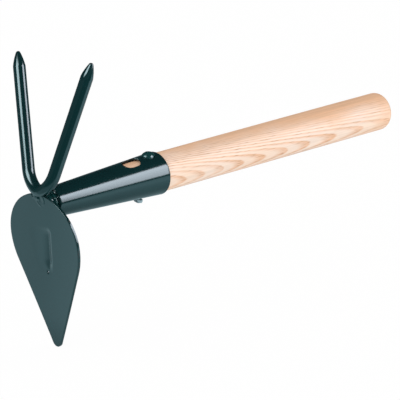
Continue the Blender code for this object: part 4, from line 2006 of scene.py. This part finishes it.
@dataclass
class Studio:
    """A plain pale floor, a dark ceiling that only the gloss shows as painted reflection, soft lamps, and
    the camera.

    Gloss shows the floor as a glowing table of limited reach, a painted reflection. Its level there
    changes across the blade, is dimmed as painted shade where the groove mirrors it, and changes
    along the socket, and none of that reaches the light on the object.
    """

    floor_size: float = 12.0
    floor_colour: str = "#FAFAF8"
    floor_glow: float = 0.97
    dark_glow: float = 0.03
    # The fields down to socket_from set the floor's glow in the gloss, a painted reflection.
    # groove_painted_shade is painted shade in that reflection.
    edge_ahead: float = 0.115
    edge_blur: float = 0.05
    table_reach: float = 0.48
    table_blur: float = 0.22
    far_glow: float = 0.35
    blade_glow: tuple[float, float] = (1.36, 0.94)
    blade_span: tuple[float, float] = (-0.045, 0.020)
    blade_slant: float = 1.14
    groove_painted_shade: float = 0.45
    groove_span: tuple[float, float] = (-0.085, -0.030)
    socket_glow: tuple[float, float] = (0.50, 1.45)
    socket_span: tuple[float, float] = (-0.03, -0.20)
    socket_from: tuple[float, float] = (-0.04, 0.02)
    fill: float = 0.92
    # The tent is painted reflection: a dark sheet, glowing dim grey near its foot, that only the gloss
    # shows.
    tent_x: float = -0.17
    tent_radius: float = 1.25
    tent_height: float = 1.6
    tent_foot: float = -0.095
    tent_top: float = 88.0
    tent_rows: int = 12
    tent_segments: int = 48
    wall_glow: float = 0.20
    wall_dark: float = 0.015
    dark_from: float = 0.70
    front_colour: str = "#F0FDFF"
    right_colour: str = "#FBF7FF"
    glow_colour: str = "#D3F6FF"
    eye: tuple[float, float, float] = (-1.15193, -1.07785, 0.35781)
    right: tuple[float, float, float] = (0.734998, -0.675403, -0.060075)
    up: tuple[float, float, float] = (0.218161, 0.151660, 0.964057)
    toward: tuple[float, float, float] = (-0.642015, -0.721686, 0.258817)
    focal_pixels: float = 2073.04
    image_pixels: float = 400.0
    sensor_mm: float = 36.0
    clip: tuple[float, float] = (0.01, 30.0)

    def build_camera(self) -> None:
        """Sets up the camera as fitted to the photograph's outlines."""
        data = bpy.data.cameras.new("camera")
        data.sensor_width = self.sensor_mm
        data.lens = self.focal_pixels / self.image_pixels * self.sensor_mm
        data.clip_start, data.clip_end = self.clip
        camera = bpy.data.objects.new("camera", data)
        bpy.context.scene.collection.objects.link(camera)
        axes = Matrix((self.right, self.up, self.toward)).transposed()
        camera.matrix_world = Matrix.Translation(self.eye) @ axes.to_4x4()
        bpy.context.scene.camera = camera

    def _seen_directly(self, tree: NodeTree) -> NodeSocket:
        """1 for a ray from the camera, or one reflected or let through on its way there.

        Args:
            tree: The node tree.

        Returns:
            An output of 0 or 1.
        """
        path = add_node(tree, "ShaderNodeLightPath")
        sharp = add_node(
            tree,
            "ShaderNodeMath",
            [path.outputs["Is Camera Ray"], path.outputs["Is Glossy Ray"]],
            operation="MAXIMUM",
        )
        seen = add_node(
            tree,
            "ShaderNodeMath",
            [sharp, path.outputs["Is Transmission Ray"]],
            operation="MAXIMUM",
        )
        return seen.outputs[0]

    def build_world(self) -> None:
        """Sets a white surround that lights the object softly from all sides."""
        world = bpy.data.worlds.new("surround")
        world.use_nodes = True
        tree = world.node_tree
        tree.nodes.clear()
        white = add_node(tree, "ShaderNodeBackground", {"Color": linear("#FFFFFF"), "Strength": 1.0})
        soft = add_node(tree, "ShaderNodeBackground", {"Color": linear("#FFFFFF"), "Strength": self.fill})
        chosen = add_node(tree, "ShaderNodeMixShader", [self._seen_directly(tree), soft, white])
        add_node(tree, "ShaderNodeOutputWorld", [chosen])
        bpy.context.scene.world = world

    def _mirrored_level(self, tree: NodeTree) -> NodeSocket:
        """How bright the table glows in the gloss, a painted reflection: it ends in front of the head and
        some way round it.

        Args:
            tree: The floor's node tree.

        Returns:
            An output that is 1 at the plain level.
        """
        place = add_node(tree, "ShaderNodeTexCoord").outputs["Object"]
        ahead = math.hypot(self.toward[0], self.toward[1])
        toward = (self.toward[0] / ahead, self.toward[1] / ahead, 0.0)
        head = Vector((NOSE_X, 0.0, 0.0))
        offset = add_node(tree, "ShaderNodeVectorMath", [place, head], operation="SUBTRACT").outputs[0]
        near = add_node(tree, "ShaderNodeVectorMath", [offset, toward], operation="DOT_PRODUCT")
        lit = add_node(
            tree,
            "ShaderNodeMapRange",
            [near.outputs["Value"], self.edge_ahead, self.edge_ahead + self.edge_blur, 1.0, 0.0],
            interpolation_type="SMOOTHSTEP",
        )
        flat = add_node(tree, "ShaderNodeVectorMath", [offset, (1.0, 1.0, 0.0)], operation="MULTIPLY")
        away = add_node(tree, "ShaderNodeVectorMath", [flat], operation="LENGTH")
        reach = add_node(
            tree,
            "ShaderNodeMapRange",
            [
                away.outputs["Value"],
                self.table_reach,
                self.table_reach + self.table_blur,
                1.0,
                self.far_glow,
            ],
            interpolation_type="SMOOTHSTEP",
        )
        along, aside, _ = add_node(tree, "ShaderNodeSeparateXYZ", [place]).outputs
        slant = (self.blade_slant, 1.0, 0.0)
        across = add_node(tree, "ShaderNodeVectorMath", [offset, slant], operation="DOT_PRODUCT")
        by_blade = add_node(
            tree,
            "ShaderNodeMapRange",
            [across.outputs["Value"], *self.blade_span, *self.blade_glow],
        )
        # Painted shade: the floor is dimmed in the gloss where the groove mirrors it.
        beyond = add_node(
            tree,
            "ShaderNodeMapRange",
            [across.outputs["Value"], *self.groove_span, self.groove_painted_shade, 1.0],
            interpolation_type="SMOOTHSTEP",
        )
        by_blade = add_node(tree, "ShaderNodeMath", [by_blade, beyond], operation="MULTIPLY")
        by_socket = add_node(tree, "ShaderNodeMapRange", [aside, *self.socket_span, *self.socket_glow])
        start, end = (NOSE_X + step for step in self.socket_from)
        which = add_node(tree, "ShaderNodeMapRange", [along, start, end])
        tone = add_node(tree, "ShaderNodeMix", {0: which, 2: by_blade, 3: by_socket}, data_type="FLOAT")
        reach = add_node(tree, "ShaderNodeMath", [reach, tone], operation="MULTIPLY")
        level = add_node(tree, "ShaderNodeMath", [lit, reach, self.dark_glow], operation="MULTIPLY_ADD")
        return level.outputs[0]

    def build_floor(self) -> None:
        """Makes the pale floor that the blade's point touches, which keeps a soft shadow."""
        made, tree, shader = new_material("matt_white_floor")
        shader.inputs["Base Color"].default_value = linear(self.floor_colour)
        shader.inputs["Roughness"].default_value = 1.0
        shader.inputs["Specular IOR Level"].default_value = 0.0
        path = add_node(tree, "ShaderNodeLightPath")
        tint = add_node(
            tree,
            "ShaderNodeMix",
            {0: path.outputs["Is Glossy Ray"], 6: linear("#FFFFFF"), 7: linear(self.glow_colour)},
            data_type="RGBA",
        )
        # In the gloss the floor glows at the painted level of _mirrored_level, tinted with glow_colour: a
        # painted reflection.
        level = add_node(
            tree,
            "ShaderNodeMix",
            {0: path.outputs["Is Glossy Ray"], 2: 1.0, 3: self._mirrored_level(tree)},
            data_type="FLOAT",
        )
        glow = add_node(tree, "ShaderNodeEmission", {"Color": tint.outputs[2], "Strength": level})
        kept = add_node(
            tree,
            "ShaderNodeMapRange",
            {0: path.outputs["Is Glossy Ray"], 3: self.floor_glow, 4: 1.0},
        )
        share = add_node(tree, "ShaderNodeMath", [self._seen_directly(tree), kept], operation="MULTIPLY")
        mixed = add_node(tree, "ShaderNodeMixShader", [share, shader, glow])
        tree.links.new(mixed.outputs[0], tree.nodes["Material Output"].inputs[0])
        floor = rectangle("studio_floor", self.floor_size / 2, self.floor_size / 2, FLOOR_Z)
        floor.data.materials.append(made)

    def build_tent(self) -> None:
        """Makes the ceiling and walls that only the gloss shows, a painted reflection: dark above and
        glowing dim grey near the horizon.
        """
        made, tree, shader = new_material("painted_reflection_tent_wall")
        place = add_node(tree, "ShaderNodeTexCoord").outputs["Object"]
        height = add_node(tree, "ShaderNodeSeparateXYZ", [place]).outputs[2]
        level = add_node(
            tree,
            "ShaderNodeMapRange",
            [height, self.tent_foot, self.dark_from, self.wall_glow, self.wall_dark],
            interpolation_type="SMOOTHSTEP",
        )
        glow = add_node(tree, "ShaderNodeEmission", {"Color": linear(self.glow_colour), "Strength": level})
        tree.links.new(glow.outputs[0], tree.nodes["Material Output"].inputs[0])
        tree.nodes.remove(shader)
        profile = [(self.tent_foot, self.tent_radius)]
        for angle in sweep(0, self.tent_top, self.tent_rows):
            profile.append((self.tent_height * math.sin(angle), self.tent_radius * math.cos(angle)))
        bm = bmesh.new()
        axis = Matrix.Translation((self.tent_x, 0.0, 0.0))
        rings = turned(profile, self.tent_segments, axis)
        bridge_all(bm, [[bm.verts.new(point) for point in ring] for ring in rings])
        only_in_gloss(as_object("painted_reflection_tent", bm), made)

    def build_lamps(self) -> None:
        """Makes the lamps: wide fills for the light, and narrow boxes that show in the enamel."""
        boxes = [
            Softbox("front_fill", LightUse.FILL, (-1.6, -0.5, 0.5), width=1.2, height=1.0, radiance=0.4),
            Softbox("side_fill", LightUse.FILL, (0.4, -1.6, 0.25), width=1.6, height=0.6, radiance=0.46),
            Softbox(
                "low_fill",
                LightUse.FILL,
                (-0.15, -0.25, -0.095),
                width=1.2,
                height=0.3,
                radiance=0.76,
                aim=(-0.15, -0.25, 1.0),
            ),
            Softbox(
                "front_box",
                LightUse.REFLECTION,
                (-1.030, -0.068, 0.755),
                width=0.88,
                height=0.96,
                radiance=12.0,
                colour=self.front_colour,
                aim=(-0.318, 0.010, 0.050),
                side_fade=0.16,
                head_fade=0.45,
                foot_fade=0.12,
            ),
            Softbox(
                "right_box",
                LightUse.REFLECTION,
                (0.363, -0.737, 0.312),
                width=0.677,
                height=0.800,
                radiance=11.8,
                colour=self.right_colour,
                aim=(-0.280, -0.010, 0.0),
                side_fade=0.16,
                head_fade=0.09,
                foot_fade=0.05,
                foot_level=0.66,
            ),
        ]
        for box in boxes:
            box.build()

    def build(self) -> None:
        """Sets up the whole studio."""
        self.build_camera()
        self.build_world()
        self.build_floor()
        self.build_tent()
        self.build_lamps()
        bpy.context.scene.view_settings.view_transform = "Standard"
        LOG.info("studio: floor at %.4f m", FLOOR_Z)


def main() -> None:
    """Builds the hoe and its studio."""
    logging.basicConfig(level=logging.INFO, format="%(name)s: %(message)s")
    finishes = Finishes(
        enamel=StovedEnamel().make(),
        # Painted light: this enamel is lighter than the socket's to offset the shade in the recess round the
        # neck. The neck, its beads and the bolt wear it.
        painted_light_enamel=StovedEnamel(
            name="stoved_enamel_painted_lighter",
            colour="#12403F",
            deep="#0E3638",
            peel_mm=3.2,
            peel_depth_mm=0.002,
            roughness=0.13,
        ).make(),
        ash=VarnishedAsh().make(),
        zinc=ZincPlate().make(),
    )
    socket = Socket()
    bolt = Bolt()
    blade = Blade()
    bar = ProngBar()
    neck = Neck()
    Grip().build(socket, bolt, finishes)
    socket.build(bolt, finishes)
    bolt.build_bolt(socket, finishes)
    bolt.build_nut(socket, finishes)
    blade.build(finishes)
    bar.build(finishes)
    neck.build_neck(blade, socket, finishes)
    for place in BeadPlace:
        neck.build_bead(place, blade, finishes)
    CornerWeld().build(blade, bar, finishes)
    Studio().build()


if __name__ == "__main__":
    main()
